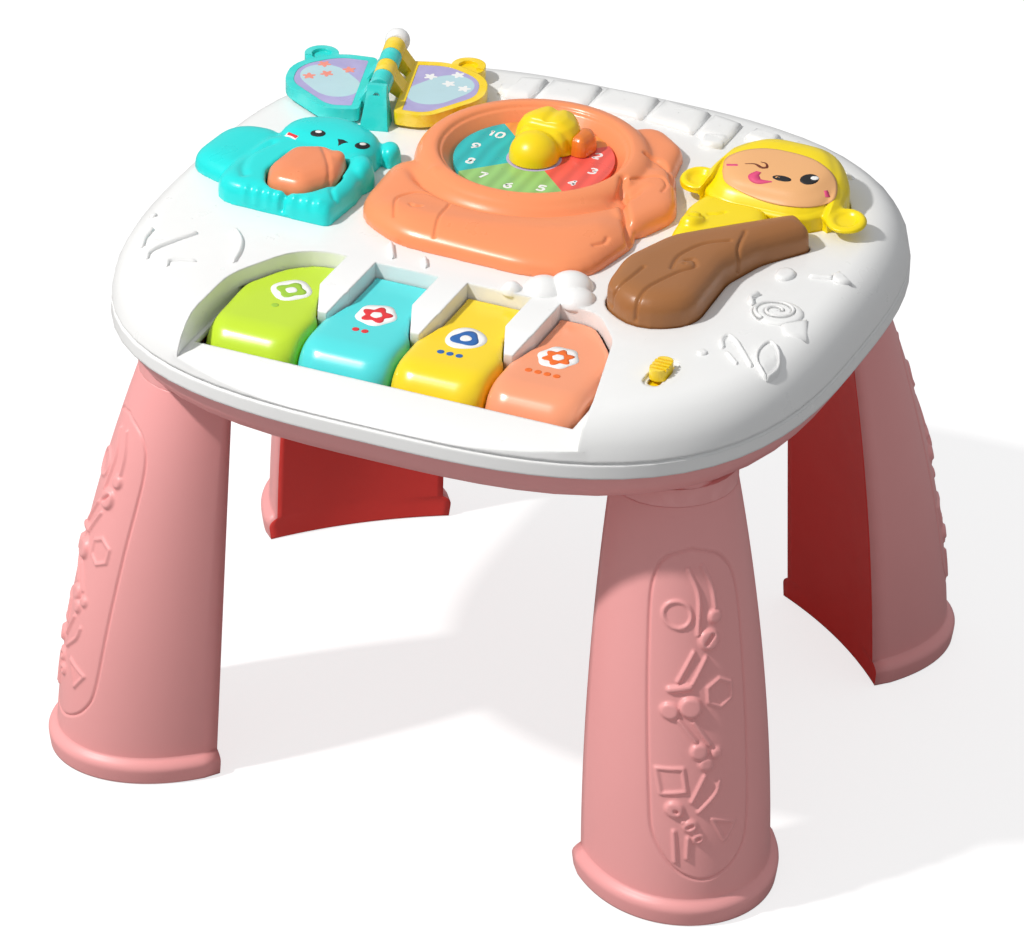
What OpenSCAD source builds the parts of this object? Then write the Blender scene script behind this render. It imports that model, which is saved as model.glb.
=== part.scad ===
// Musical activity table for a young child.
// A low table on four hollow legs. The white playing surface carries four hinged piano keys,
// a turning pointer in a clock dial, three spring-back push buttons, a two-page book that
// turns on a knuckled spine, and a power switch. The electronics sit in a tray underneath.
// Millimetres, Z up, X to the right, the keys toward -Y. The origin is on the floor, under
// the middle of the table top.

/* [Table top] */
// width of the top across the lip
top_w = 350; // [320:1:400]
// depth of the top across the lip
top_d = 333; // [300:1:380]
// height of the playing surface above the floor
top_h = 253; // [235:1:280]
// height of the white moulding, lip to playing surface
shell_h = 30; // [26:1:34]
// how square the outline is: 2 is an ellipse, more is squarer
squareness = 2.95; // [2.4:0.05:3.6]
// how far the shoulder curves in from the lip to the flat
shoulder = 17; // [13:0.5:21]
// wall of the white top moulding
shell_wall = 2.8; // [2.2:0.1:3.4]
// wall of the tray under it
tray_wall = 2.6; // [2.2:0.1:3.2]
// depth of the tray below the lip
tray_h = 19; // [17.8:0.2:22]

/* [Legs] */
// half the spacing of the legs, left to right
leg_x = 127; // [118:1:134]
// half the spacing of the legs, front to back
leg_y = 103; // [96:1:103]
// how far the set of legs sits behind the middle of the top
leg_back = 3.5; // [0:0.5:3.5]
// direction that a back leg faces, from the X axis
leg_turn = 50; // [44:1:56]
// half width of a leg at the floor
leg_foot_w = 44; // [40:0.5:50]
// depth of a leg at the floor, inner face to outer curve
leg_foot_d = 61; // [54:0.5:70]
// half width of a leg at its neck
leg_neck_w = 30; // [27:0.5:33]
// depth of a leg at its neck
leg_neck_d = 32; // [28:0.5:36]
// how far the leg spreads outward from neck to floor
leg_splay = 15; // [8:0.5:20]
// hollow of the leg's inner face
leg_dish = 4.5; // [2:0.5:7]
// wall of a leg
leg_wall = 2.6; // [2:0.1:3.4]
// how far the foot rim stands out
foot_rim = 4.5; // [3:0.25:6]
// height of the foot rim
foot_h = 12; // [9:0.5:16]
// height of the round neck collar under the tray
collar_h = 8; // [5:0.5:12]
// wall of the collar round the plug at the top of a leg
collar_wall = 2.6; // [2.4:0.1:3.2]

/* [Keys] */
// spacing of the keys
key_pitch = 46.5; // [44:0.5:47]
// left side of the first key
key_left = -97; // [-99:0.5:-95]
// back edge of the keys
key_back = -61; // [-63:0.5:-60]
// front edge of the keys
key_front = -138; // [-140:0.5:-134]
// how far the keys lie below the playing surface
key_drop = 7; // [5:0.5:9]
// height of a key's front wall
key_deep = 18; // [15:0.5:20]
// radius of a key's rounded front
key_round = 11; // [8:0.5:14]
// wall of a key
key_wall = 2.2; // [1.8:0.1:2.8]
// width of the white posts between the keys
post_w = 14.4; // [12:0.2:17]
// radius of the steel rod that the keys turn on
rod_r = 2; // [1.5:0.1:2.5]
// angle that a key goes down
key_swing = 3; // [2:0.5:3.5]

/* [Elephant] */
// height of the trunk above the playing surface
trunk_rise = 10; // [8:0.5:12.5]
// height of the ear above the playing surface
ear_rise = 10.5; // [8:0.5:12.5]
// height of the back above the playing surface
back_rise = 8.5; // [6:0.5:11]

/* [Clock dial and pointer] */
// place of the dial, left to right
dial_x = -14; // [-17:0.5:-12]
// place of the dial, front to back
dial_y = 54.5; // [52:0.5:57]
// outer radius of the dial's surround
bezel_r = 57; // [54:0.5:59]
// radius of the printed clock face
face_r = 38.4; // [36:0.2:40]
// height of the surround above the playing surface
bezel_h = 13.5; // [11:0.5:16]
// height of the clock face above the playing surface
face_h = 7; // [6:0.5:8]
// height of the pointer above the clock face
pointer_h = 16; // [13:0.5:20]
// radius of the pointer's spindle
spindle_r = 4; // [3:0.25:5]

/* [Push buttons] */
// travel of the push buttons
press = 3.5; // [2.5:0.25:4]
// height of the squirrel's head above the playing surface
squirrel_h = 15.5; // [13:0.5:18]
// height of the squirrel's tail above the playing surface
tail_h = 10; // [8:0.5:13]
// height of the acorn above the playing surface
acorn_h = 18; // [15.5:0.5:21]
// height of the monkey's head above the playing surface
monkey_h = 22; // [18:0.5:26]
// height of the log above the playing surface
log_h = 15; // [12:0.5:18]

/* [Book] */
// place of the book's spine, left to right
book_x = -110; // [-112:0.5:-108]
// place of the book's spine, front to back
book_y = 97; // [95:0.5:99]
// turn of the spine from straight back
book_turn = 15; // [12:0.5:18]
// height of the spine pin above the playing surface
spine_h = 15; // [14:0.5:18]
// outer radius of the spine knuckles
knuckle_r = 5.2; // [4.4:0.2:5.8]
// radius of the spine pin
pin_r = 1.6; // [1.2:0.1:2]
// reach of a page from the spine
page_w = 49; // [45:0.5:52]
// length of a page along the spine
page_l = 60; // [56:0.5:62]
// thickness of a page
page_t = 6.5; // [5:0.25:7.5]
// width of a page's frame round the picture
page_rim = 4; // [3:0.25:5]

/* [Switch and power] */
// place of the switch, left to right
switch_x = 115; // [113:0.5:118]
// place of the switch, front to back
switch_y = -99; // [-101:0.5:-96]
// travel of the switch each way
switch_throw = 3; // [2:0.25:3.5]
// diameter of a battery
cell_d = 14.2; // [13.8:0.1:14.4]
// length of a battery
cell_l = 50; // [49:0.5:50.5]
// radius of the loudspeaker
speaker_r = 25; // [20:1:28]

/* [Fits] */
// gap round a piece that slides or swings
slide_gap = 0.8; // [0.6:0.05:1.1]
// gap between a pin and its bore, on the radius
bore_gap = 0.06; // [0.03:0.01:0.09]
// gap between faces that seat on each other
seat_gap = 0.3; // [0.2:0.05:0.4]
// gap between a screw's shank and its pilot hole, on the radius
thread_gap = 0.05; // [0.03:0.01:0.1]

/* [Hidden] */
$fn = 48;
outline_points = 84;
tray_points = 60;
lip_z = top_h - shell_h;
plate_z = top_h - shell_wall;
tray_z = lip_z - tray_h;
neck_z = tray_z - collar_h;
groove = 1.2;
lip_band = 6.5;
// side of the top moulding, from the lip up, as [inset, height]
shell_profile = [[0, 0], [0, lip_band], [groove, lip_band + 0.7], [groove, lip_band + 1.3],
                 [0.3, lip_band + 2], [shoulder * 0.09, shell_h * 0.52], [shoulder * 0.27, shell_h * 0.72],
                 [shoulder * 0.52, shell_h * 0.87], [shoulder * 0.8, shell_h * 0.97],
                 [shoulder * 1.15, shell_h]];

// leg: levels from the foot up, and the plug that holds it
leg_levels = [0.12, 0.3, 0.48, 0.64, 0.78, 0.9, 1];
leg_inner_levels = [0, 0.3, 0.6, 0.85];
plug_h = 12;
leg_screw_seat = 7;
plug_u = (leg_neck_d + leg_dish) / 2;
plug_r = (leg_neck_d - leg_dish) / 2 - collar_wall;
leg_set = [[1, 1], [-1, 1], [-1, -1], [1, -1]];

// keys
key_top = top_h - key_drop;
key_count = 4;
key_gap = 1.2;
post_half = post_w / 2;
post_tip = 2.2;
post_front = key_back - 42;
post_top_front = key_back - 29;
rod_y = key_back + 10;
rod_z = key_top - 7;
hinge_r = rod_r + 2.6;
arm_half = 6;
bracket_t = 3;
bracket_r = 6.5;
recess_side = 3.2;
ledge_z = key_top - 8;
ledge_t = 2.6;
rod_left = key_left - 4.5;
contact_y = key_front + 30;
board_t = 1.6;
strip_z = tray_z + 12.6;
key_dome_h = 2.7 + (rod_y - contact_y) * sin(key_swing);

// dial, pointer
face_z = top_h + face_h;
face_t = 1.2;
crest_in = face_r + 6.4;
spindle_bottom = plate_z - 13;
spindle_top = face_z + 8;
washer_t = 1.6;
hub_r = 12;
pointer_path = [[-14, 4, 10], [14, 4, 10], [17, 20, 11], [9, 34, 10], [-9, 34, 10], [-17, 20, 11]];
beak_path = [[12, 10, 4], [22, 8, 4], [24, 20, 5], [20, 27, 4], [12, 25, 4]];

// buttons: outlines run anticlockwise as [x, y, corner radius]
skirt_wall = 2.2;
flange_w = 3;
flange_t = 2;
flange_top = plate_z - seat_gap;
dome_h = 7;
plunger_r = 5;
contact_z = flange_top - flange_t - 1.5 - dome_h;
acorn_at = [-101, -10];
monkey_at = [102, 77];
log_at = [94, -20];
acorn_path = [[-119, -18, 9], [-113, -32, 9], [-94, -32, 9], [-85, -16, 10], [-88, 6, 9],
              [-102, 11, 9], [-117, 4, 9]];
monkey_path = [[72, 50, 24], [130, 50, 24], [138, 80, 22], [122, 107, 22], [84, 108, 24], [66, 82, 24]];
log_path = [[67, -53, 18], [89, -68, 26], [112, -54, 18], [110.5, -10, 30], [118, 14, 30],
            [134, 37, 4], [122, 49, 4], [99, 27, 26], [76, 4, 30], [65, -25, 26]];
face_inset = 8;
face_seat_z = top_h + monkey_h - 5;
contact_boards_at = [acorn_at, monkey_at, log_at];
contact_places = [for (c = contact_boards_at) each [c + [0, 15], c - [0, 15]]];
tail_path = [[-164, -13, 15], [-134, -24, 8], [-126, 6, 8], [-129, 31, 13], [-160, 29, 17]];
haunch_path = [[-142, -37, 13], [-78, -39, 4], [-76, -12, 9], [-80, 22, 12], [-136, 22, 12]];
trunk_path = [[-74, 26, 14], [-71, -24, 28], [-42, -41, 40], [22, -43, 44], [51, -36, 26],
              [59, 6, 26], [46, 32, 14], [-50, 38, 14]];
ear_path = [[37, 10, 12], [56, 8, 12], [67, 36, 20], [50, 76, 14], [38, 66, 8]];
back_path = [[30, 60, 6], [52, 64, 8], [46, 96, 12], [26, 113, 11], [10, 98, 10]];
monkey_body_path = [[74, 3, 13], [98, 6, 11], [112, 38, 12], [104, 60, 8], [74, 60, 10], [70, 40, 20]];

// book
spine_z = top_h + spine_h;
spine_half = 26;
knuckles = 4;
knuckle_l = (2 * spine_half - 2 * 2.4) / knuckles;
page_in = 8.4;
page_front = -35;
page_back = page_front + page_l;
page_z = top_h + 1.6;
card_t = 0.8;
rear_post_l = 6;
ear_r = 8.4;

// tray fittings
cells = 3;
cell_gap = 1.2;
box_wall = 2;
cover_t = 2.4;
cover_lip = 0.6;
box_w = cells * (cell_d + cell_gap) + cell_gap;
box_l = cell_l + 9;
box_at = [38, 42];
cover_tab = 9;
speaker_at = [-72, 30];
speaker_h = 11;
main_at = [-20, -15];
board_places = [for (k = [1:3]) [key_left + key_pitch * k - key_gap / 2, contact_y + 5.4],
                [main_at[0] - 24, main_at[1] - 14], [main_at[0] + 24, main_at[1] + 14]];
battery_screw_at = [box_at[0], box_at[1] + box_l / 2 + cover_tab / 2 + 1];
screw_r = 1.5;
screw_head_r = 2.8;
screw_head_h = 2;
screw_hole_r = screw_r + 0.3;
pilot_r = screw_r + thread_gap;
small_screw_r = 0.85;
small_head_r = 2.2;
small_head_h = 1.4;
small_pilot_r = small_screw_r + thread_gap;
screw_post_r = 3.6;
board_post_r = 3;
screw_places = [[0, 140], [104, -126], [-108, -124], [151, 10], [-151, 10], [62, 128], [-62, 128]];
key_colours = ["#b9dd16", "#1fd6d0", "#f5dc14", "#f4946a"];
pink = "#f2a3a3";
teal = "#22dcd6";
orange = "#f2915f";
yellow = "#f7df16";
brown = "#a96a36";
ivory = "#f4f3f0";

// ---- shape helpers ----
function unit(v) = v / norm(v);
function wrap(a) = a > 180 ? a - 360 : a < -180 ? a + 360 : a;

// half the inside angle of the corner at c, between its neighbours p and n
function half_angle(p, c, n) = acos(max(-1, min(1, unit(p - c) * unit(n - c)))) / 2;

// points of that corner rounded to radius r, or less where its sides are short
function fillet(p, c, n, r, steps) =
    let (a = unit(p - c), b = unit(n - c), half = half_angle(p, c, n))
    let (t = min(r / tan(half), 0.48 * norm(p - c), 0.48 * norm(n - c)), fit = t * tan(half))
    let (mid = c + unit(a + b) * fit / sin(half))
    let (s = c + a * t - mid, e = c + b * t - mid)
    let (from = atan2(s[1], s[0]), turn = wrap(atan2(e[1], e[0]) - from))
    [for (i = [0:steps]) mid + fit * [cos(from + turn * i / steps), sin(from + turn * i / steps)]];

// closed outline through [x, y, corner radius] points, which run anticlockwise
function rounded(path, steps = 4) =
    let (n = len(path))
    [for (i = [0:n - 1])
        let (p = path[(i + n - 1) % n], c = path[i], q = path[(i + 1) % n])
        each fillet([p[0], p[1]], [c[0], c[1]], [q[0], q[1]], c[2], steps)];

// the same path moved inward by d, or outward where d is negative
function moved(path, d) =
    let (n = len(path))
    [for (i = [0:n - 1])
        let (p = path[(i + n - 1) % n], c = path[i], q = path[(i + 1) % n])
        let (a = unit([p[0] - c[0], p[1] - c[1]]), b = unit([q[0] - c[0], q[1] - c[1]]))
        let (bend = a[1] * b[0] - a[0] * b[1], side = bend >= 0 ? 1 : -1)
        let (far = d / sin(half_angle([p[0], p[1]], [c[0], c[1]], [q[0], q[1]])))
        let (v = unit(a + b) * far * side)
        [c[0] + v[0], c[1] + v[1], max(0.8, c[2] - d * side)]];

function at_z(pts, z) = [for (p = pts) [p[0], p[1], z]];

// outline of the table top, inset by d
function top_ring(d, count) =
    [for (i = [0:count - 1])
        let (a = 360 * i / count, w = top_w / 2 - d, h = top_d / 2 - d)
        let (sum = pow(abs(cos(a)) / w, squareness) + pow(abs(sin(a)) / h, squareness))
        pow(sum, -1 / squareness) * [cos(a), sin(a)]];

function turned(f) = [for (i = [len(f) - 1:-1:0]) f[i]];

// faces between ring a and ring b of n points
function band(a, b, n) =
    [for (j = [0:n - 1]) [a * n + j, b * n + j, b * n + (j + 1) % n, a * n + (j + 1) % n]];

// solid through rings, closed flat at both ends
module loft(rings) {
    n = len(rings[0]);
    last = len(rings) - 1;
    sides = [for (i = [0:last - 1]) each band(i, i + 1, n)];
    bottom = [for (j = [0:n - 1]) j];
    top = [for (j = [n - 1:-1:0]) last * n + j];
    polyhedron([for (r = rings) each r], concat(sides, [bottom], [top]), convexity = 6);
}

// cup: outer and inner skins, each listed from the open edge to the closed face
module cup(outer, inner, downward = false) {
    n = len(outer[0]);
    k = len(outer);
    m = len(inner);
    skin = [for (i = [0:k - 2]) each band(i, i + 1, n)];
    lining = [for (i = [0:m - 2]) each band(k + i, k + i + 1, n)];
    cap = [for (j = [n - 1:-1:0]) (k - 1) * n + j];
    lid = [for (j = [0:n - 1]) (k + m - 1) * n + j];
    edge = [for (f = band(k, 0, n)) f];
    faces = concat(skin, [for (f = lining) turned(f)], [cap], [lid], edge);
    points = [for (r = concat(outer, inner)) each r];
    polyhedron(points, downward ? [for (f = faces) turned(f)] : faces, convexity = 8);
}

// soft raised form on an outline: straight side, then a curved crown
module crown(path, low, high, side = 0.35, pull = 9, steps = 4) {
    rise = high - low;
    shape = [[0, 0], [0, side], [0.07, side + (1 - side) * 0.36], [0.26, side + (1 - side) * 0.7],
             [0.58, side + (1 - side) * 0.92], [1, 1]];
    loft([for (s = shape) at_z(rounded(moved(path, s[0] * pull), steps), low + s[1] * rise)]);
}

module tube(r, hole, h) {
    difference() {
        cylinder(r = r, h = h);
        translate([0, 0, -1])
            cylinder(r = hole, h = h + 2);
    }
}

// ---- table top ----
module recess_plan(extra = 0) {
    right = key_left + key_pitch * key_count + recess_side + extra;
    left = key_left - recess_side - extra;
    back = key_back + 1 + extra;
    front = -top_d;
    polygon(rounded([[left, front, 1], [right + 6, front, 1], [right + 6, key_front, 40],
                     [right - 8, key_back - 20, 24], [right - 24, back, 16],
                     [left + 20, back, 28], [left, key_back - 38, 40]], 5));
}

// side view of the lower ledge in front of the keys, as [y, z]
function ledge_line(drop) =
    [[key_back + 20, ledge_z - drop], [key_front - 1, ledge_z - drop],
     [key_front - 12, ledge_z - 0.8 - drop], [key_front - 20, ledge_z - 2.6 - drop],
     [key_front - 25, ledge_z - 4.8 - drop], [key_front - 29, ledge_z - 7.4 - drop],
     [key_front - 35, ledge_z - 13 - drop]];

module side_prism(points, width) {
    rotate([90, 0, 90])
        linear_extrude(width, center = true)
            polygon(points);
}

// corners that close a ledge line high over the top
over_ledge = [[key_front - 60, top_h + 20], [key_back + 20, top_h + 20]];

module ledge_cut() {
    intersection() {
        translate([0, 0, lip_z - 20])
            linear_extrude(shell_h + 40)
                recess_plan();
        side_prism(concat(ledge_line(0), over_ledge), top_w);
    }
}

module ledge_plate() {
    intersection() {
        translate([0, 0, lip_z])
            linear_extrude(shell_h)
                recess_plan(shell_wall);
        side_prism(concat(ledge_line(0), turned(ledge_line(ledge_t))), top_w);
        translate([0, 0, lip_z])
            linear_extrude(shell_h)
                polygon(top_ring(1, outline_points));
    }
}

// upright wall round the key recess, cut to the rounded shoulder of the top
module recess_wall() {
    intersection() {
        translate([0, 0, lip_z])
            linear_extrude(plate_z + 1 - lip_z)
                difference() {
                    recess_plan(shell_wall);
                    recess_plan();
                }
        loft([for (s = shell_profile) at_z(top_ring(s[0], outline_points), lip_z + s[1])]);
        side_prism(concat(ledge_line(ledge_t), over_ledge), top_w);
        // the back wall stops above the hinge arms
        union() {
            translate([-top_w / 2, -top_d, ledge_z - 10])
                cube([top_w, top_d + key_back - 2, shell_h]);
            translate([-top_w / 2, key_back - 3, key_top - 1.4])
                cube([top_w, 20, shell_h]);
        }
    }
}

// opening in the ledge that the keys go down through
module key_opening() {
    left = key_left - slide_gap;
    right = key_left + key_pitch * key_count - key_gap + slide_gap + 0.8;
    translate([left, key_front - 1.2, ledge_z - 20])
        cube([right - left, key_back - key_front + 30, key_top - ledge_z + 18]);
}

function post_x(k) = key_left + key_pitch * k - key_gap / 2;

module post_plan() {
    polygon([[-post_half, key_back + 4], [-post_half, post_top_front], [-post_tip, post_front],
             [post_tip, post_front], [post_half, post_top_front], [post_half, key_back + 4]]);
}

// white posts between the keys, with a sloped and pointed front
module key_posts() {
    for (k = [1:key_count - 1])
        translate([post_x(k), 0, 0])
            intersection() {
                translate([0, 0, ledge_z - 2])
                    linear_extrude(top_h - ledge_z + 2)
                        post_plan();
                side_prism([[key_back + 5, ledge_z - 3], [post_front + 4, ledge_z - 3],
                            [post_front - 1, key_top - 2], [post_front, key_top + 0.4],
                            [post_top_front - 3, top_h - 1.2], [post_top_front + 1, top_h],
                            [key_back + 5, top_h]], post_w * 2);
            }
}

// hangers under the top plate that carry the key rod: outside the first key, between the keys,
// and between the arms of the last, which lies beside the log's opening
function hanger_x(k) = k == key_count ? key_arm_x(k - 1) : key_x(k) - key_gap / 2 - (k == 0 ? 2.2 : 0);

module rod_hangers() {
    for (k = [0:key_count])
        translate([hanger_x(k), 0, 0])
            difference() {
                translate([-bracket_t / 2, rod_y - bracket_r, rod_z - bracket_r + 1])
                    cube([bracket_t, bracket_r * 2, plate_z - rod_z + bracket_r - 0.5]);
                translate([-bracket_t, rod_y, rod_z])
                    rotate([0, 90, 0])
                        cylinder(r = rod_r + bore_gap, h = bracket_t * 2);
            }
}

module button_hole(path, gap) {
    translate([0, 0, plate_z - 5])
        linear_extrude(shell_wall + 10)
            polygon(rounded(moved(path, -gap)));
}

// posts on the tray that carry the contact boards, with pilot holes from above
module contact_posts() {
    high = contact_z - board_t;
    for (p = contact_places)
        translate([p[0], p[1], tray_z + 1])
            difference() {
                cylinder(r = board_post_r, h = high - tray_z - 1);
                translate([0, 0, high - tray_z - 8])
                    cylinder(r = small_pilot_r, h = 10);
            }
}

// posts under the top plate that take the housing screws from below
module screw_posts() {
    low = tray_z + 12;
    for (p = screw_places)
        translate([p[0], p[1], low])
            difference() {
                cylinder(r = screw_post_r, h = plate_z + 0.5 - low);
                translate([0, 0, -1])
                    cylinder(r = pilot_r, h = 12);
            }
}

// soft clouds in low relief beside the trunk, as [x, y, radius, height]
module raised_clouds() {
    sunk = 2;
    difference() {
        for (c = [[36, -49, 10, 5], [47, -43, 11, 7], [54, -52, 9, 4.5], [23, -56, 5, 3.5]])
            translate([c[0], c[1], top_h - sunk])
                scale([1, 1, (c[3] + sunk) / c[2]])
                    difference() {
                        sphere(r = c[2], $fn = 24);
                        translate([0, 0, -c[2]])
                            cube(c[2] * 2, center = true);
                    }
        translate([0, 0, top_h])
            linear_extrude(bezel_h)
                polygon(rounded(moved(trunk_path, -seat_gap)));
    }
}

module top_shell() {
    inner = [[0, 0], [0, lip_band + 2], [shoulder * 0.12, shell_h * 0.52], [shoulder * 0.4, shell_h * 0.78],
             [shoulder * 0.95, shell_h - shell_wall]];
    color(ivory) {
        difference() {
            cup([for (s = shell_profile) at_z(top_ring(s[0], outline_points), lip_z + s[1])],
                [for (s = inner) at_z(top_ring(s[0] + shell_wall, outline_points), lip_z + s[1])]);
            ledge_cut();
            button_hole(monkey_path, slide_gap);
            button_hole(log_path, slide_gap);
            translate([acorn_at[0], acorn_at[1], plate_z - 5])
                cylinder(r = plunger_r + slide_gap, h = shell_wall + 10);
            translate([dial_x, dial_y, plate_z - 5])
                cylinder(r = spindle_r + 3, h = shell_wall + 10);
            translate([switch_x, switch_y, top_h - 1.4])
                switch_slot(9, 5, 10);
            translate([switch_x, switch_y, plate_z - 5])
                switch_slot(5 + switch_throw, 3.2, 20);
        }
        difference() {
            union() {
                ledge_plate();
                recess_wall();
            }
            key_opening();
        }
        key_posts();
        rod_hangers();
        translate([dial_x, dial_y, spindle_bottom + seat_gap])
            tube(spindle_r + 3.4, spindle_r + bore_gap, top_h + 1 - spindle_bottom - seat_gap);
        screw_posts();
        raised_clouds();
    }
}

module switch_slot(half, r, h) {
    linear_extrude(h)
        polygon(rounded([[-r, -half - r, r * 0.98], [r, -half - r, r * 0.98], [r, half + r, r * 0.98],
                         [-r, half + r, r * 0.98]], 5));
}

// ---- tray ----
module leg_place(k) {
    side = leg_set[k];
    translate([side[0] * leg_x, side[1] * leg_y + leg_back, 0])
        rotate([0, 0, side[0] > 0 ? side[1] * leg_turn : 180 - side[1] * leg_turn])
            children();
}

module speaker_holes() {
    for (r = [0:3])
        for (a = [0:max(0, r * 6 - 1)])
            rotate([0, 0, a * 60 / max(1, r)])
                translate([r * 5.4, 0, -1])
                    cylinder(r = 1.4, h = tray_wall + 2, $fn = 24);
}

module base_tray() {
    outer = [[3.4, 1.6], [3.4, -1], [5, -tray_h * 0.42], [9, -tray_h * 0.74], [15, -tray_h * 0.94],
             [23, -tray_h]];
    inner = [[0, 1.6], [0, -1], [1.6, -tray_h * 0.42], [6, -tray_h * 0.74], [16, -tray_h + tray_wall]];
    color(pink) {
        difference() {
            union() {
                cup([for (s = outer) at_z(top_ring(s[0], tray_points), lip_z + s[1])],
                    [for (s = inner) at_z(top_ring(s[0] + 3.4 + tray_wall, tray_points), lip_z + s[1])],
                    downward = true);
                for (k = [0:3])
                    leg_place(k)
                        translate([0, 0, neck_z])
                            linear_extrude(collar_h + 1)
                                polygon(leg_section(1, 0));
                for (k = [0:3])
                    leg_place(k)
                        translate([plug_u - leg_splay, 0, tray_z + 1])
                            cylinder(r = plug_r + 2.4, h = plug_h - collar_h + 9);
                translate([box_at[0] - box_w / 2 - box_wall, box_at[1] - box_l / 2 - box_wall, tray_z + 1])
                    cube([box_w + 2 * box_wall, box_l + 2 * box_wall, cell_d + cover_t + box_wall]);
            }
            for (k = [0:3])
                leg_place(k)
                    translate([plug_u - leg_splay, 0, neck_z - 1])
                        cylinder(r = plug_r + bore_gap, h = plug_h + 1.4);
            for (k = [0:3])
                leg_place(k)
                    translate([plug_u - leg_splay, 0, neck_z])
                        cylinder(r = pilot_r, h = plug_h + 9);
            translate([box_at[0] - box_w / 2, box_at[1] - box_l / 2, tray_z - 1])
                cube([box_w, box_l, cell_d + cover_t + 1.6]);
            translate([box_at[0] - box_w / 2 - 1.2, box_at[1] - box_l / 2 - 1.2, tray_z - 1])
                cube([box_w + 2.4, box_l + 2.4 + cover_tab, cover_t - cover_lip + 1]);
            translate([battery_screw_at[0], battery_screw_at[1], tray_z - 1])
                cylinder(r = pilot_r, h = 14);
            translate([speaker_at[0], speaker_at[1], tray_z])
                speaker_holes();
            translate([0, 0, tray_z])
                for (p = screw_places)
                    translate([p[0], p[1], -1])
                        cylinder(r = screw_hole_r, h = 20);
        }
        for (p = screw_places)
            translate([p[0], p[1], tray_z + 0.5])
                tube(screw_post_r + 0.6, screw_hole_r, 11.5);
        translate([battery_screw_at[0], battery_screw_at[1], tray_z + cover_t - cover_lip])
            tube(screw_post_r, pilot_r, 9);
        translate([speaker_at[0], speaker_at[1], tray_z + tray_wall - 0.4])
            tube(speaker_r + 2.4, speaker_r + 0.2, 6);
        contact_posts();
        for (p = board_places)
            translate([p[0], p[1], tray_z + 1])
                difference() {
                    cylinder(r = board_post_r, h = strip_z - tray_z - 1);
                    translate([0, 0, strip_z - tray_z - 8])
                        cylinder(r = small_pilot_r, h = 10);
                }
    }
}

// ---- legs ----
function leg_width(s) = leg_foot_w + (leg_neck_w - leg_foot_w) * s * s;
function leg_depth(s) = leg_foot_d + (leg_neck_d - leg_foot_d) * pow(s, 1.7);
function leg_inner(s) = -leg_splay * (0.55 * s + 0.45 * s * s);

// one D section at height share s, moved inward by d, with the rim standing out by rim
function leg_section(s, d, rim = 0) =
    let (w = leg_width(s) - d + rim, b = leg_depth(s) - d + rim, c = leg_inner(s) + d)
    concat([for (i = [0:14]) let (a = -84 + 168 * i / 14)
                [c + (b - d) * pow(cos(a), 0.9), w * sin(a) / sin(84)]],
           [for (v = [0.9, 0.45, 0, -0.45, -0.9]) [c + leg_dish * (1 - v * v), w * v]]);

module leg() {
    foot = [[0, foot_rim - 1.2], [0.12, foot_rim], [0.62, foot_rim], [0.88, foot_rim * 0.7], [1, 0.2]];
    span = neck_z - foot_h;
    rim_rings = [for (f = foot) at_z(leg_section(0, 0, f[1]), f[0] * foot_h)];
    body_rings = [for (s = leg_levels) at_z(leg_section(s, 0), foot_h + s * span)];
    inner_rings = [for (s = leg_inner_levels) at_z(leg_section(s, leg_wall), s * span)];
    color(pink) {
        difference() {
            union() {
                cup(concat(rim_rings, body_rings), inner_rings);
                translate([plug_u - leg_splay, 0, neck_z - 4])
                    cylinder(r = plug_r, h = plug_h + 4);
            }
            translate([plug_u - leg_splay, 0, neck_z - span * 0.3])
                cylinder(r = screw_hole_r, h = span * 0.3 + plug_h + 2);
            translate([plug_u - leg_splay, 0, neck_z - span * 0.3])
                cylinder(r = screw_head_r + 0.4, h = span * 0.3 - leg_screw_seat, $fn = 32);
        }
    }
}

module leg_back_right() { leg_place(0) leg(); }
module leg_back_left() { leg_place(1) leg(); }
module leg_front_left() { leg_place(2) leg(); }
module leg_front_right() { leg_place(3) leg(); }

// screw that points up, with the underside of its head at z = 0
module screw(length) {
    union() {
        translate([0, 0, -screw_head_h])
            cylinder(r = screw_head_r, h = screw_head_h);
        translate([0, 0, -1])
            cylinder(r = screw_r, h = length + 1);
    }
}

module leg_screws() {
    color("silver")
        for (k = [0:3])
            leg_place(k)
                translate([plug_u - leg_splay, 0, neck_z - leg_screw_seat])
                    screw(leg_screw_seat + plug_h + 7);
}

module housing_screws() {
    color("silver")
        for (p = screw_places)
            translate([p[0], p[1], tray_z])
                screw(21);
}

// ---- keys ----
function key_x(k) = key_left + key_pitch * k;

// plan of key k: a bar that clears the posts beside it and the curved walls of the recess
module key_plan(k) {
    difference() {
        intersection() {
            translate([key_x(k), key_front])
                square([key_pitch - key_gap, key_back - key_front]);
            offset(delta = -slide_gap - 0.4)
                recess_plan();
        }
        for (j = [max(1, k):min(key_count - 1, k + 1)])
            translate([post_x(j), 0])
                offset(delta = slide_gap)
                    post_plan();
    }
}

module key_side(d) {
    low = key_top - key_deep;
    difference() {
        translate([key_front + d, low - d])
            square([key_back - key_front - 2 * d, key_deep]);
        translate([key_front + d - 1, key_top - d - (key_round - d) + 0.001])
            difference() {
                square([key_round - d + 1, key_round]);
                translate([key_round - d + 1, 0])
                    circle(r = key_round - d);
            }
    }
}

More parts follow.
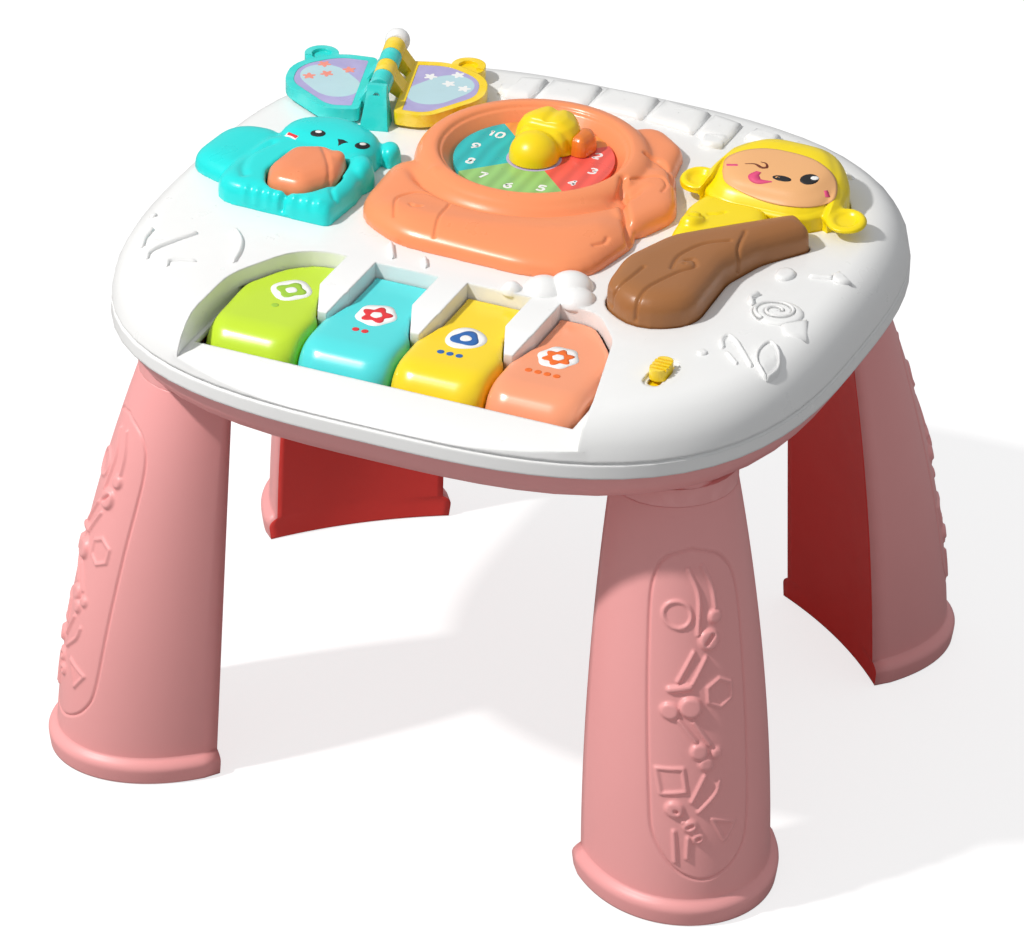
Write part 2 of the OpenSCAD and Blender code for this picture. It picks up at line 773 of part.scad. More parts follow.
module key_mass(k, d) {
    l = key_x(k);
    wide = key_pitch - key_gap;
    intersection() {
        translate([0, 0, key_top - key_deep - 5])
            linear_extrude(key_deep + 10)
                offset(delta = -d)
                    key_plan(k);
        rotate([90, 0, 90])
            translate([0, 0, l - 5])
                linear_extrude(wide + 10)
                    key_side(d);
        if (d == 0)
            translate([l + wide / 2, 0, 0])
                rotate([90, 0, 0])
                    translate([0, 0, -key_back - 5])
                        linear_extrude(key_back - key_front + 10)
                            polygon(rounded([[-wide / 2, key_top - key_deep - 4, 1],
                                             [wide / 2, key_top - key_deep - 4, 1],
                                             [wide / 2, key_top, 4.5], [-wide / 2, key_top, 4.5]], 5));
    }
}

// middle of the hinge arms of key k, under the middle of its back edge
function key_arm_x(k) = key_x(k) + (key_pitch - key_gap) / 2 + (k == 0 ? 7 : k == key_count - 1 ? -6 : 0);

module key(k) {
    mid = key_x(k) + (key_pitch - key_gap) / 2;
    arm = key_arm_x(k);
    dome_top = strip_z + board_t + key_dome_h + bore_gap;
    color(key_colours[k])
        difference() {
            union() {
                difference() {
                    key_mass(k, 0);
                    translate([0, 0, -0.01])
                        key_mass(k, key_wall);
                }
                for (x = [-arm_half, arm_half])
                    translate([arm + x - 1.5, key_back - 4, rod_z - hinge_r])
                        cube([3, rod_y - key_back + 4, 2 * hinge_r]);
                for (x = [-arm_half, arm_half])
                    translate([arm + x - 1.5, rod_y, rod_z])
                        rotate([0, 90, 0])
                            cylinder(r = hinge_r, h = 3);
                translate([mid - 2, contact_y - 5, dome_top])
                    cube([4, 10, key_top - 1 - dome_top]);
            }
            translate([arm - 20, rod_y, rod_z])
                rotate([0, 90, 0])
                    cylinder(r = rod_r + bore_gap, h = 40);
        }
}

module key_green() { key(0); }
module key_teal() { key(1); }
module key_yellow() { key(2); }
module key_orange() { key(3); }

module key_rod() {
    color("silver")
        translate([rod_left, rod_y, rod_z])
            rotate([0, 90, 0])
                cylinder(r = rod_r, h = key_arm_x(key_count - 1) + 11 - rod_left);
}

module key_board() {
    color("#2f6b3a")
        difference() {
            translate([key_left + 4, contact_y - 8, strip_z])
                cube([key_pitch * key_count - 12, 17, board_t]);
            board_holes();
        }
}

module board_holes() {
    for (p = board_places)
        translate([p[0], p[1], strip_z - 1])
            cylinder(r = small_pilot_r, h = board_t + 2);
}

// rubber dome under a key: it closes the contact and lifts the key again
module key_dome(k) {
    color("#5a5a5e")
        translate([key_x(k) + (key_pitch - key_gap) / 2, contact_y, strip_z + board_t])
            cylinder(r1 = 6, r2 = 4, h = key_dome_h);
}

module key_dome_green() { key_dome(0); }
module key_dome_teal() { key_dome(1); }
module key_dome_yellow() { key_dome(2); }
module key_dome_orange() { key_dome(3); }

// ---- elephant, clock dial and pointer ----
module elephant_cover() {
    floor_z = face_z - face_t - 1.8;
    color(orange)
        difference() {
            union() {
                crown(trunk_path, top_h, top_h + trunk_rise, 0.3, 15);
                crown(ear_path, top_h, top_h + ear_rise, 0.35, 8);
                crown(back_path, top_h, top_h + back_rise, 0.35, 7);
                translate([dial_x, dial_y, top_h])
                    rotate_extrude($fn = 96)
                        polygon(concat([[0, 0], [bezel_r - 1, 0], [bezel_r, 1.5], [bezel_r, bezel_h * 0.38]],
                            [for (i = [0:6]) let (a = i * 15)
                                [crest_in + 3 + (bezel_r - crest_in - 3) * cos(a),
                                 bezel_h * 0.38 + bezel_h * 0.62 * sin(a)]],
                            [for (i = [1:4]) let (a = 90 + i * 20)
                                [crest_in + 3 + 3 * cos(a), bezel_h - 3 + 3 * sin(a)]],
                            [[0, bezel_h - 3.5]]));
            }
            // well that holds the clock face
            translate([dial_x, dial_y, floor_z])
                cylinder(r1 = face_r + 0.25, r2 = crest_in + 1.2, h = top_h + bezel_h - floor_z + 0.6,
                    $fn = 96);
            translate([dial_x, dial_y, top_h - 1])
                cylinder(r = spindle_r + 3.7, h = 40);
        }
}

module clock_face() {
    color("#e9705c")
        translate([dial_x, dial_y, face_z - face_t - 1.8])
            tube(face_r - 0.05, spindle_r + 3.7, face_t + 1.8);
}

module pointer_knob() {
    low = face_z + seat_gap;
    color(yellow) {
        difference() {
            translate([dial_x, dial_y, low])
                rotate_extrude($fn = 64)
                    polygon(concat([[0, 0], [hub_r, 0], [hub_r, 2.5]],
                        [for (i = [1:7]) [hub_r * cos(i * 90 / 8), 2.5 + (pointer_h - 5) * sin(i * 90 / 8)]],
                        [[0, pointer_h - 2.5]]));
            translate([dial_x, dial_y, low - 1])
                cylinder(r = spindle_r + bore_gap, h = spindle_top + bore_gap - low + 1);
        }
        difference() {
            translate([dial_x, dial_y, 0])
                crown(pointer_path, low, face_z + pointer_h, 0.2, 13);
            translate([dial_x, dial_y, low - 1])
                cylinder(r = spindle_r + 4, h = pointer_h - 6);
        }
    }
}

module pointer_beak() {
    color("#e8742c")
        difference() {
            translate([dial_x, dial_y, 0])
                crown(beak_path, face_z + seat_gap, face_z + pointer_h * 0.62, 0.25, 5, 3);
            translate([dial_x, dial_y, 0])
                crown(moved(pointer_path, -0.15), face_z - 1, face_z + pointer_h + 0.3, 0.3, 13);
        }
}

module spindle() {
    color("#d8d8da")
        difference() {
            translate([dial_x, dial_y, spindle_bottom])
                cylinder(r = spindle_r, h = spindle_top - spindle_bottom);
            translate([dial_x, dial_y, spindle_bottom - 1])
                cylinder(r = pilot_r, h = 13);
        }
}

// washer and screw that hold the spindle from below
module spindle_screw() {
    color("silver")
        translate([dial_x, dial_y, spindle_bottom - washer_t]) {
            cylinder(r = spindle_r + 3, h = washer_t);
            screw(washer_t + 10);
        }
}

// ---- squirrel and acorn ----
module squirrel_body() {
    color(teal)
        difference() {
            union() {
                crown(tail_path, top_h, top_h + tail_h, 0.3, 13);
                crown(haunch_path, top_h, top_h + tail_h + 2, 0.4, 8);
                crown([[-133, 12, 17], [-83, 8, 14], [-80, 36, 18], [-108, 50, 24], [-134, 38, 18]],
                      top_h, top_h + squirrel_h, 0.35, 15);
                crown([[-87, 34, 6], [-77, 24, 6], [-73, 34, 6], [-80, 43, 6]], top_h, top_h + tail_h, 0.4, 4, 3);
                crown([[-93, 8, 7], [-78, -8, 7], [-74.5, 6, 7], [-81, 18, 7]], top_h, top_h + squirrel_h - 1, 0.4, 6, 3);
            }
            translate([0, 0, top_h - 1])
                linear_extrude(acorn_h + 20)
                    polygon(rounded(moved(acorn_path, -slide_gap)));
        }
}

module contact_dome(at) {
    color("#e8e6e0")
        translate([at[0], at[1], contact_z])
            cylinder(r1 = 7, r2 = 4.4, h = dome_h);
}

module acorn_button() {
    low = top_h + press + 0.8;
    stop_z = flange_top - flange_t;
    color(orange) {
        crown(acorn_path, low, top_h + acorn_h, 0.42, 11);
        crown([[-100, 0, 5], [-92, -7, 5], [-87, 2, 6], [-93, 8, 6]], top_h + acorn_h - 6,
              top_h + acorn_h - 0.5, 0.4, 3, 3);
        translate([acorn_at[0], acorn_at[1], stop_z])
            cylinder(r = plunger_r, h = low + 1 - stop_z);
        translate([acorn_at[0], acorn_at[1], stop_z - 1.5])
            cylinder(r = plunger_r + 3, h = flange_t + 1.5);
    }
}

module acorn_dome() { contact_dome(acorn_at); }

// ---- monkey ----
// hollow button on an outline, with a flange that stops under the plate and keeps clear of
// the flange of a neighbour whose outline is avoid
module button_shell(path, high, pull, at, crown_side, avoid = []) {
    stop_z = flange_top - flange_t;
    difference() {
        union() {
            crown(path, flange_top - 1, high, crown_side, pull);
            translate([0, 0, stop_z])
                linear_extrude(flange_t)
                    difference() {
                        polygon(rounded(moved(path, -flange_w)));
                        if (len(avoid) > 0)
                            polygon(rounded(moved(avoid, -flange_w - slide_gap)));
                    }
        }
        translate([0, 0, stop_z - 1])
            linear_extrude(top_h + 4 - stop_z)
                polygon(rounded(moved(path, skirt_wall)));
    }
    translate([at[0], at[1], stop_z - 1.5])
        cylinder(r = plunger_r, h = top_h + 5 - stop_z);
}

module ear_ring(x, y, turn) {
    translate([x, y, top_h + press + 5])
        rotate([0, 0, turn])
            rotate_extrude($fn = 40)
                polygon([[0, -2.5], [8, -4], [10.4, -3], [11.4, 0], [10.4, 3], [8.4, 4], [6.6, 2.6],
                         [5.6, 0.4], [0, 0]]);
}

module monkey_head() {
    color(yellow) {
        difference() {
            button_shell(monkey_path, top_h + monkey_h, 18, monkey_at, 0.55);
            translate([0, 0, face_seat_z])
                linear_extrude(monkey_h)
                    polygon(rounded(moved(monkey_path, face_inset - 0.1)));
        }
        ear_ring(142, 63, 20);
        ear_ring(65, 75, 160);
    }
}

module monkey_face() {
    color("#e6a566")
        crown(moved(monkey_path, face_inset), face_seat_z, top_h + monkey_h + 0.8, 0.5, 13);
}

module monkey_body() {
    color(yellow)
        difference() {
            union() {
                crown(monkey_body_path, top_h, top_h + 10, 0.35, 7);
                crown([[72, 18, 6], [84, 14, 6], [88, 28, 6], [76, 32, 6]], top_h, top_h + 14, 0.4, 5, 3);
            }
            translate([0, 0, top_h - 1])
                linear_extrude(40) {
                    polygon(rounded(moved(monkey_path, -slide_gap)));
                    polygon(rounded(moved(log_path, -slide_gap)));
                }
        }
}

module monkey_dome() { contact_dome(monkey_at); }

// ---- log ----
module log_button() {
    color(brown)
        button_shell(log_path, top_h + log_h, 11, log_at, 0.6, monkey_path);
}

module log_dome() { contact_dome(log_at); }

module contact_boards() {
    color("#2f6b3a")
        for (c = contact_boards_at)
            translate([c[0], c[1], contact_z - board_t])
                difference() {
                    translate([-9, -19, 0])
                        cube([18, 38, board_t]);
                    for (y = [-15, 15])
                        translate([0, y, -1])
                            cylinder(r = small_pilot_r, h = 4);
                }
}

module small_screw() {
    cylinder(r = small_head_r, h = small_head_h);
    translate([0, 0, -6])
        cylinder(r = small_screw_r, h = 6.5);
}

module contact_screws() {
    color("silver") {
        for (p = contact_places)
            translate([p[0], p[1], contact_z])
                small_screw();
        for (p = board_places)
            translate([p[0], p[1], strip_z + board_t])
                small_screw();
    }
}

// ---- book ----
module book_place() {
    translate([book_x, book_y, 0])
        rotate([0, 0, book_turn])
            children();
}

module along_spine(from, r, length) {
    translate([0, from, spine_z])
        rotate([-90, 0, 0])
            cylinder(r = r, h = length, $fn = 40);
}

function page_outline(d) =
    rounded(moved([[page_in, page_front + 2, 3], [25, page_front, 16], [page_w, page_front + 24, 18],
                   [page_w, page_back - 14, 24], [28, page_back, 24], [page_in, page_back - 2, 3]], d), 5);

// a page lies to the right of the spine; the left page is its mirror image
module page(first) {
    difference() {
        union() {
            difference() {
                translate([0, 0, page_z])
                    linear_extrude(page_t)
                        polygon(page_outline(0));
                translate([0, 0, page_z + page_t - card_t])
                    linear_extrude(4)
                        polygon(page_outline(page_rim));
            }
            for (i = [first:2:knuckles - 1])
                knuckle_arm(i);
            page_ear();
        }
        along_spine(-40, pin_r + bore_gap, 80);
    }
}

// round ear on the far edge of a page, with a shallow dish in its top
module page_ear() {
    translate([page_w * 0.74, page_back - 1.5, page_z])
        difference() {
            cylinder(r = ear_r, h = page_t);
            translate([0, 0, page_t - 1.6])
                cylinder(r = ear_r - 3.6, h = 4);
            translate([-ear_r - 1, -2 * ear_r - 2.5, page_t - card_t])
                cube([2 * ear_r + 2, 2 * ear_r, 5]);
        }
}

module knuckle_arm(i) {
    from = -spine_half + 2.4 + knuckle_l * i + 0.25;
    length = knuckle_l - 0.5;
    along_spine(from, knuckle_r, length);
    translate([0, from, 0])
        rotate([90, 0, 0])
            translate([0, 0, -length])
                linear_extrude(length)
                    polygon([[0, spine_z - knuckle_r + 0.2], [page_in + 2, page_z + 1],
                             [page_in + 2, page_z + page_t - 0.6], [knuckle_r - 0.2, spine_z]]);
}

module page_yellow() { color(yellow) book_place() page(1); }
module page_teal() { color(teal) book_place() mirror([1, 0, 0]) page(0); }

module card() {
    translate([0, 0, page_z + page_t - card_t])
        linear_extrude(card_t - 0.1)
            polygon(page_outline(page_rim + 0.1));
}

module card_right() { color("#b9b4dc") book_place() card(); }
module card_left() { color("#b9b4dc") book_place() mirror([1, 0, 0]) card(); }

module spine_pin() {
    color("silver")
        book_place()
            along_spine(-spine_half - 5, pin_r, 2 * spine_half + 8.5);
}

// front post: a sloped wedge that carries the front end of the pin
module spine_front() {
    color(teal)
        book_place()
            difference() {
                intersection() {
                    rotate([90, 0, 90])
                        linear_extrude(20, center = true)
                            polygon([[-spine_half, top_h], [-spine_half, spine_z + 4.6],
                                     [-spine_half - 3, spine_z + 4.8], [-spine_half - 12, top_h + 2.5],
                                     [-spine_half - 12.4, top_h]]);
                    rotate([90, 0, 0])
                        linear_extrude(90, center = true)
                            polygon([[-7, top_h], [7, top_h], [5, spine_z], [4.6, spine_z + 6],
                                     [-4.6, spine_z + 6], [-5, spine_z]]);
                }
                along_spine(-spine_half - 5.2, pin_r, 20);
            }
}

// rear post: a short neck with a ball on top, flat toward the knuckles
module spine_rear() {
    ball = 6.2;
    color(ivory)
        book_place()
            difference() {
                translate([0, spine_half + rear_post_l / 2 + 1, top_h])
                    rotate_extrude()
                        polygon(concat([[0, 0], [5.4, 0], [4, spine_h - 6]],
                            [for (i = [1:8]) let (a = -50 + 140 * i / 8)
                                [ball * cos(a), spine_h + ball * sin(a)]],
                            [[0, spine_h + ball]]));
                translate([-10, spine_half - 10, top_h - 1])
                    cube([20, 10, 40]);
                along_spine(spine_half - 10, pin_r, 13.5);
            }
}

// ---- switch ----
module switch_nub() {
    color(yellow)
        translate([switch_x, switch_y, 0]) {
            translate([0, 0, plate_z - 2.6])
                switch_slot(2.2, 2.4, 4.4);
            difference() {
                translate([0, 0, top_h - 1.2])
                    switch_slot(3.2, 4.2, 5.4);
                for (y = [-4.4, -1.5, 1.4, 4.3])
                    translate([-6, y - 0.6, top_h + 3])
                        cube([12, 1.2, 3]);
            }
            translate([-4.4, -12, plate_z - 2 - seat_gap])
                cube([8.8, 24, 2]);
        }
}

module switch_case() {
    color("#4a4a4e")
        translate([switch_x - 6, switch_y - 17, plate_z - 11])
            difference() {
                cube([12, 34, 11]);
                translate([1.2, 1.2, 9 - 2 * seat_gap])
                    cube([9.6, 31.6, 10]);
            }
}

// ---- electronics and power ----
module main_board() {
    color("#2f6b3a")
        difference() {
            translate([main_at[0] - 30, main_at[1] - 20, strip_z])
                cube([60, 40, board_t]);
            board_holes();
        }
}

module board_parts() {
    color("#26262a")
        translate([main_at[0], main_at[1], strip_z + board_t]) {
            translate([-9, -6, 0])
                cube([16, 12, 2]);
            translate([16, -12, 0])
                cylinder(r = 4, h = 7);
            translate([-24, 8, 0])
                cube([8, 5, 4]);
        }
}

module speaker() {
    color("#3a3a3d")
        translate([speaker_at[0], speaker_at[1], tray_z + tray_wall])
            difference() {
                union() {
                    cylinder(r = speaker_r, h = 1.6);
                    cylinder(r1 = speaker_r - 1, r2 = 13, h = speaker_h - 4);
                    cylinder(r = 12, h = speaker_h);
                }
                translate([0, 0, -1])
                    cylinder(r1 = speaker_r - 3, r2 = 6, h = 6);
            }
}

function cell_x(i) = box_at[0] + (i - (cells - 1) / 2) * (cell_d + cell_gap);

module batteries() {
    color("#3f7f86")
        for (i = [0:cells - 1])
            translate([cell_x(i), box_at[1] - cell_l / 2, tray_z + cover_t + cell_d / 2 + 0.3])
                rotate([-90, 0, 0]) {
                    cylinder(r = cell_d / 2, h = cell_l - 1.4);
                    cylinder(r = 2.7, h = cell_l);
                }
}

module battery_contacts() {
    mid_z = tray_z + cover_t + cell_d / 2 + 0.3;
    color("silver")
        for (i = [0:cells - 1]) {
            translate([cell_x(i) - 5, box_at[1] + box_l / 2 - 0.7, mid_z - 5])
                cube([10, 0.7, 10]);
            translate([cell_x(i), box_at[1] + cell_l / 2 + 0.05, mid_z])
                rotate([-90, 0, 0])
                    cylinder(r1 = 2.4, r2 = 4, h = (box_l - cell_l) / 2 - 0.5);
            translate([cell_x(i) - 5, box_at[1] - box_l / 2, mid_z - 5])
                cube([10, 0.7, 10]);
            translate([cell_x(i), box_at[1] - box_l / 2 + 0.5, mid_z])
                rotate([-90, 0, 0])
                    cylinder(r1 = 5, r2 = 2.4, h = (box_l - cell_l) / 2 - 0.55);
        }
}

module battery_cover() {
    color(pink)
        difference() {
            translate([box_at[0] - box_w / 2 - 1, box_at[1] - box_l / 2 - 1, tray_z - cover_lip])
                cube([box_w + 2, box_l + 2 + cover_tab, cover_t]);
            translate([battery_screw_at[0], battery_screw_at[1], tray_z - 2])
                cylinder(r = screw_hole_r, h = 10);
        }
}

module battery_screw() {
    color("silver")
        translate([battery_screw_at[0], battery_screw_at[1], tray_z - cover_lip])
            screw(9);
}

top_shell();
base_tray();
leg_back_right();
leg_back_left();
leg_front_left();
leg_front_right();
leg_screws();
housing_screws();
key_green();
key_teal();
key_yellow();
key_orange();
key_rod();
key_board();
key_dome_green();
key_dome_teal();
key_dome_yellow();
key_dome_orange();
elephant_cover();
clock_face();
pointer_knob();
pointer_beak();
spindle();
spindle_screw();
squirrel_body();
acorn_button();
acorn_dome();
monkey_head();
monkey_face();
monkey_body();
monkey_dome();
log_button();
log_dome();
contact_boards();
contact_screws();
page_yellow();
page_teal();
card_right();
card_left();
spine_pin();
spine_front();
spine_rear();
switch_nub();
switch_case();
main_board();
board_parts();
speaker();
batteries();
battery_contacts();
battery_cover();
battery_screw();
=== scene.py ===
# A low musical table for a young child, dressed for a studio picture.
import math

import bmesh
import bpy
import numpy as np
from mathutils import Matrix, Vector
from mathutils.bvhtree import BVHTree


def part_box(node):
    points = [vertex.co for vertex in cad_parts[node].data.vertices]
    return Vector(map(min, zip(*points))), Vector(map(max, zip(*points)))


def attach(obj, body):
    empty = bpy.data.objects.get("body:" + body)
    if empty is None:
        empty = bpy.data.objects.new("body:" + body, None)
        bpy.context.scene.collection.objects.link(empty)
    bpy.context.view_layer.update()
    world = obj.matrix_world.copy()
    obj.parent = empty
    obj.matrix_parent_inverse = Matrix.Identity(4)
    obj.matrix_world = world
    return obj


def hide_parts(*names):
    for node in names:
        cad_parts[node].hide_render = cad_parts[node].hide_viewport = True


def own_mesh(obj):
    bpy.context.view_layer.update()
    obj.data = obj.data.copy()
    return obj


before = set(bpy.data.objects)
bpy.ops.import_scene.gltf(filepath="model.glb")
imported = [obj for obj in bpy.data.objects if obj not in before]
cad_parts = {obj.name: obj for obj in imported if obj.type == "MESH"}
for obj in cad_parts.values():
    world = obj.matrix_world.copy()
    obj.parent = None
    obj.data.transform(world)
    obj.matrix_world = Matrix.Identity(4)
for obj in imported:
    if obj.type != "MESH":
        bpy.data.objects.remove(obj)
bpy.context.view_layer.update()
MM = 0.001

# ---- Studio: a pale floor, a white room and one lamp ----
# The table stands on a seamless pale floor. One lamp stands high on the left in front, and
# the white room lights the shadows.
lens_place = Vector((1.04851033, -2.46034846, 1.67709784))
swing, lift, roll = (math.radians(a) for a in (23.05925742, 30.23498531, 1.15544512))
back = Vector((math.sin(swing) * math.cos(lift), -math.cos(swing) * math.cos(lift), math.sin(lift)))
right = Vector((math.cos(swing), math.sin(swing), 0))
up = back.cross(right)
across = right * math.cos(roll) + up * math.sin(roll)
upward = up * math.cos(roll) - right * math.sin(roll)
camera_data = bpy.data.cameras.new("studio_camera")
camera_data.lens = 227.953
camera_data.sensor_width = 36
camera_data.clip_end = 30
camera = bpy.data.objects.new("studio_camera", camera_data)
camera.matrix_world = Matrix(((across.x, upward.x, back.x, lens_place.x),
                              (across.y, upward.y, back.y, lens_place.y),
                              (across.z, upward.z, back.z, lens_place.z), (0, 0, 0, 1)))
bpy.context.scene.collection.objects.link(camera)
bpy.context.scene.camera = camera
bpy.context.scene.view_settings.view_transform = "Standard"
lamp_data = bpy.data.lights.new("key_lamp", "AREA")
lamp_data.shape = "DISK"
lamp_data.size = 0.13
lamp_data.energy = 60
lamp_data.color = (1.0, 0.978, 0.95)
lamp = bpy.data.objects.new("key_lamp", lamp_data)
lamp.location = (-1.22, -1.2, 2.22)
lamp.rotation_euler = (Vector((0, 0, 0.2)) - lamp.location).to_track_quat("-Z", "Y").to_euler()
bpy.context.scene.collection.objects.link(lamp)


def feed(part, sockets):
    """Gives each socket of a node a value, or the output that feeds it."""
    for key, value in sockets.items():
        if isinstance(value, bpy.types.NodeSocket):
            part.id_data.links.new(value, part.inputs[key])
        else:
            part.inputs[key].default_value = value
    return part


def tree_part(tree, kind, sockets=None, **options):
    """A new node with its options set and its sockets fed."""
    part = tree.nodes.new(kind)
    for key, value in options.items():
        setattr(part, key, value)
    return feed(part, sockets or {})


def reckoned(tree, operation, *values):
    """What one sum makes of the values."""
    return tree_part(tree, "ShaderNodeMath", dict(enumerate(values)), operation=operation).outputs[0]


def mapped(tree, value, span=(0, 1), onto=(0, 1)):
    """A value carried from one span onto another, and held inside it."""
    ends = {"From Min": span[0], "From Max": span[1], "To Min": onto[0], "To Max": onto[1]}
    return tree_part(tree, "ShaderNodeMapRange", {"Value": value, **ends}).outputs["Result"]


def new_finish(name):
    """A new material, with its tree and its main shader."""
    material = bpy.data.materials.new(name)
    material.use_nodes = True
    return material, material.node_tree, material.node_tree.nodes["Principled BSDF"]


room = bpy.data.worlds.new("white_room")
bpy.context.scene.world = room
room.use_nodes = True
walls = room.node_tree
room_side = tree_part(walls, "ShaderNodeTexCoord")
room_way = tree_part(walls, "ShaderNodeSeparateXYZ", {0: room_side.outputs["Generated"]})
room_light = feed(walls.nodes["Background"], {
    "Color": (0.97, 0.98, 1.0, 1), "Strength": mapped(walls, room_way.outputs["Z"], (-0.25, 0.8), (0.42, 0.47))})
room_seen = tree_part(walls, "ShaderNodeBackground", {"Strength": 1.0})
room_ray = tree_part(walls, "ShaderNodeLightPath")
room_choice = tree_part(walls, "ShaderNodeMixShader", {
    0: room_ray.outputs["Is Camera Ray"], 1: room_light.outputs[0], 2: room_seen.outputs[0]})
feed(walls.nodes["World Output"], {"Surface": room_choice.outputs[0]})

floor_mesh = bpy.data.meshes.new("studio_floor")
floor_corners = [(x, y, -0.0005) for x, y in ((-9, -9), (9, -9), (9, 9), (-9, 9))]
floor_mesh.from_pydata(floor_corners, [], [(0, 1, 2, 3)])
floor = bpy.data.objects.new("studio_floor", floor_mesh)
bpy.context.scene.collection.objects.link(floor)
floor_paint, floor_tree, floor_shader = new_finish("floor_paint")
floor_ray = tree_part(floor_tree, "ShaderNodeLightPath")
feed(floor_shader, {
    "Base Color": (0.36, 0.36, 0.36, 1), "Roughness": 0.9, "Emission Color": (1, 1, 1, 1),
    "Emission Strength": reckoned(floor_tree, "MULTIPLY", floor_ray.outputs["Is Camera Ray"], 0.74)})
floor_mesh.materials.append(floor_paint)

# ---- Legs: four hollow mouldings in matt pink ----
# Each leg is a D-shaped shell with a round foot rim, open at the floor, plugged into the tray
# and held by one screw. Its outer face has a fine oval line round a panel of low reliefs: a
# pipe with round joints, a ring, a six-sided figure, a square and a triangle. Its inward faces carry painted shade in
# deep red.


def noise(tree, place, scale, detail):
    """Cloudy noise of that fineness."""
    return tree_part(tree, "ShaderNodeTexNoise", {"Vector": place, "Scale": scale, "Detail": detail}).outputs["Fac"]


# The look of moulded plastic: slow change of tone, rubbed edges and a faint texture
moulded = bpy.data.node_groups.new("moulded_surface", "ShaderNodeTree")
for way, sockets in (("INPUT", ("Colour", "Tone", "Patch", "Grain", "Rub", "Satin")),
                     ("OUTPUT", ("Colour", "Roughness", "Height"))):
    for socket in sockets:
        kind = "NodeSocketColor" if socket == "Colour" else "NodeSocketFloat"
        moulded.interface.new_socket(socket, in_out=way, socket_type=kind)
given = tree_part(moulded, "NodeGroupInput").outputs
where = tree_part(moulded, "ShaderNodeTexCoord").outputs["Object"]
patches = noise(moulded, where, given["Patch"], 3.0)
swell = reckoned(moulded, "MULTIPLY_ADD", reckoned(moulded, "SUBTRACT", patches, 0.5), given["Tone"], 1.0)
toned = tree_part(moulded, "ShaderNodeHueSaturation", {"Value": swell, "Color": given["Colour"]}).outputs["Color"]
paler = tree_part(moulded, "ShaderNodeHueSaturation", {"Saturation": 0.8, "Value": 1.18, "Color": toned})
shape_of = tree_part(moulded, "ShaderNodeNewGeometry")
edges = mapped(moulded, shape_of.outputs["Pointiness"], (0.53, 0.62))
chips = mapped(moulded, noise(moulded, where, 130.0, 4.0), (0.42, 0.66))
rubbed = reckoned(moulded, "MULTIPLY", reckoned(moulded, "MULTIPLY", edges, chips), given["Rub"])
mixed = tree_part(moulded, "ShaderNodeMix", {0: rubbed, 6: toned, 7: paler.outputs["Color"]}, data_type="RGBA")
lowered = reckoned(moulded, "SUBTRACT", given["Satin"], 0.08)
sheen = reckoned(moulded, "MULTIPLY_ADD", noise(moulded, where, 46.0, 6.0), 0.16, lowered)
feed(tree_part(moulded, "NodeGroupOutput"), {
    "Colour": mixed.outputs[2], "Roughness": sheen, "Height": noise(moulded, where, given["Grain"], 2.0)})


def plastic(name, colour, satin=0.34, tone=0.08, bump=0.12, patch=16.0, grain=1400.0, rub=0.4, edge=0.0, coat=0.0):
    """Moulded plastic of one colour, with its own gloss and texture."""
    material, tree, shader = new_finish(name)
    look = {"Colour": (*colour, 1), "Tone": tone, "Patch": patch, "Grain": grain, "Rub": rub, "Satin": satin}
    skin = tree_part(tree, "ShaderNodeGroup", look, node_tree=moulded).outputs
    relief = tree_part(tree, "ShaderNodeBump", {"Strength": bump, "Distance": 0.00012, "Height": skin["Height"]})
    if edge:
        rounded_edge = tree_part(tree, "ShaderNodeBevel", {"Radius": edge * MM}, samples=4)
        feed(relief, {"Normal": rounded_edge.outputs["Normal"]})
    feed(shader, {"Base Color": skin["Colour"], "Roughness": skin["Roughness"], "Normal": relief.outputs["Normal"],
                  "IOR": 1.49, "Coat Weight": coat, "Coat Roughness": 0.12})
    return material


# Facets of a carried-over solid are joined and shaded smooth, and its real edges stay sharp
smooth_skin = bpy.data.node_groups.new("smooth_skin", "GeometryNodeTree")
smooth_skin.interface.new_socket("Geometry", in_out="INPUT", socket_type="NodeSocketGeometry")
smooth_skin.interface.new_socket("Angle", in_out="INPUT", socket_type="NodeSocketFloat")
smooth_skin.interface.new_socket("Geometry", in_out="OUTPUT", socket_type="NodeSocketGeometry")
solid = tree_part(smooth_skin, "NodeGroupInput").outputs
fold = tree_part(smooth_skin, "GeometryNodeInputMeshEdgeAngle").outputs["Unsigned Angle"]
folded = tree_part(smooth_skin, "FunctionNodeCompare", {0: fold, 1: solid["Angle"]},
                   data_type="FLOAT", operation="GREATER_THAN")
facets = solid["Geometry"]
for kind, sockets, options in (
        ("GeometryNodeMergeByDistance", {"Distance": 0.00001}, {}),
        ("GeometryNodeRemoveAttribute", {"Name": "custom_normal"}, {}),
        ("GeometryNodeSetShadeSmooth", {}, {"domain": "FACE"}),
        ("GeometryNodeSetShadeSmooth", {"Selection": folded.outputs["Result"], "Shade Smooth": False},
         {"domain": "EDGE"})):
    facets = tree_part(smooth_skin, kind, {"Geometry": facets, **sockets}, **options).outputs["Geometry"]
feed(tree_part(smooth_skin, "NodeGroupOutput"), {"Geometry": facets})


def dress(material, *nodes, angle=32):
    """Gives carried-over solids their finish."""
    for node in nodes:
        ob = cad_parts[node]
        ob.data.materials.clear()
        ob.data.materials.append(material)
        skin = ob.modifiers.new("smooth_skin", "NODES")
        skin.node_group = smooth_skin
        skin["Socket_1"] = math.radians(angle)


def piece(name, points, faces, material, body, smooth=True):
    """A new object of points in millimetres, riding on a body of the table."""
    mesh = bpy.data.meshes.new(name)
    mesh.from_pydata((np.asarray(points, float) * MM).tolist(), [], faces)
    mesh.update()
    if smooth:
        mesh.shade_smooth()
    mesh.materials.append(material)
    ob = bpy.data.objects.new(name, mesh)
    bpy.context.scene.collection.objects.link(ob)
    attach(ob, body)
    return ob


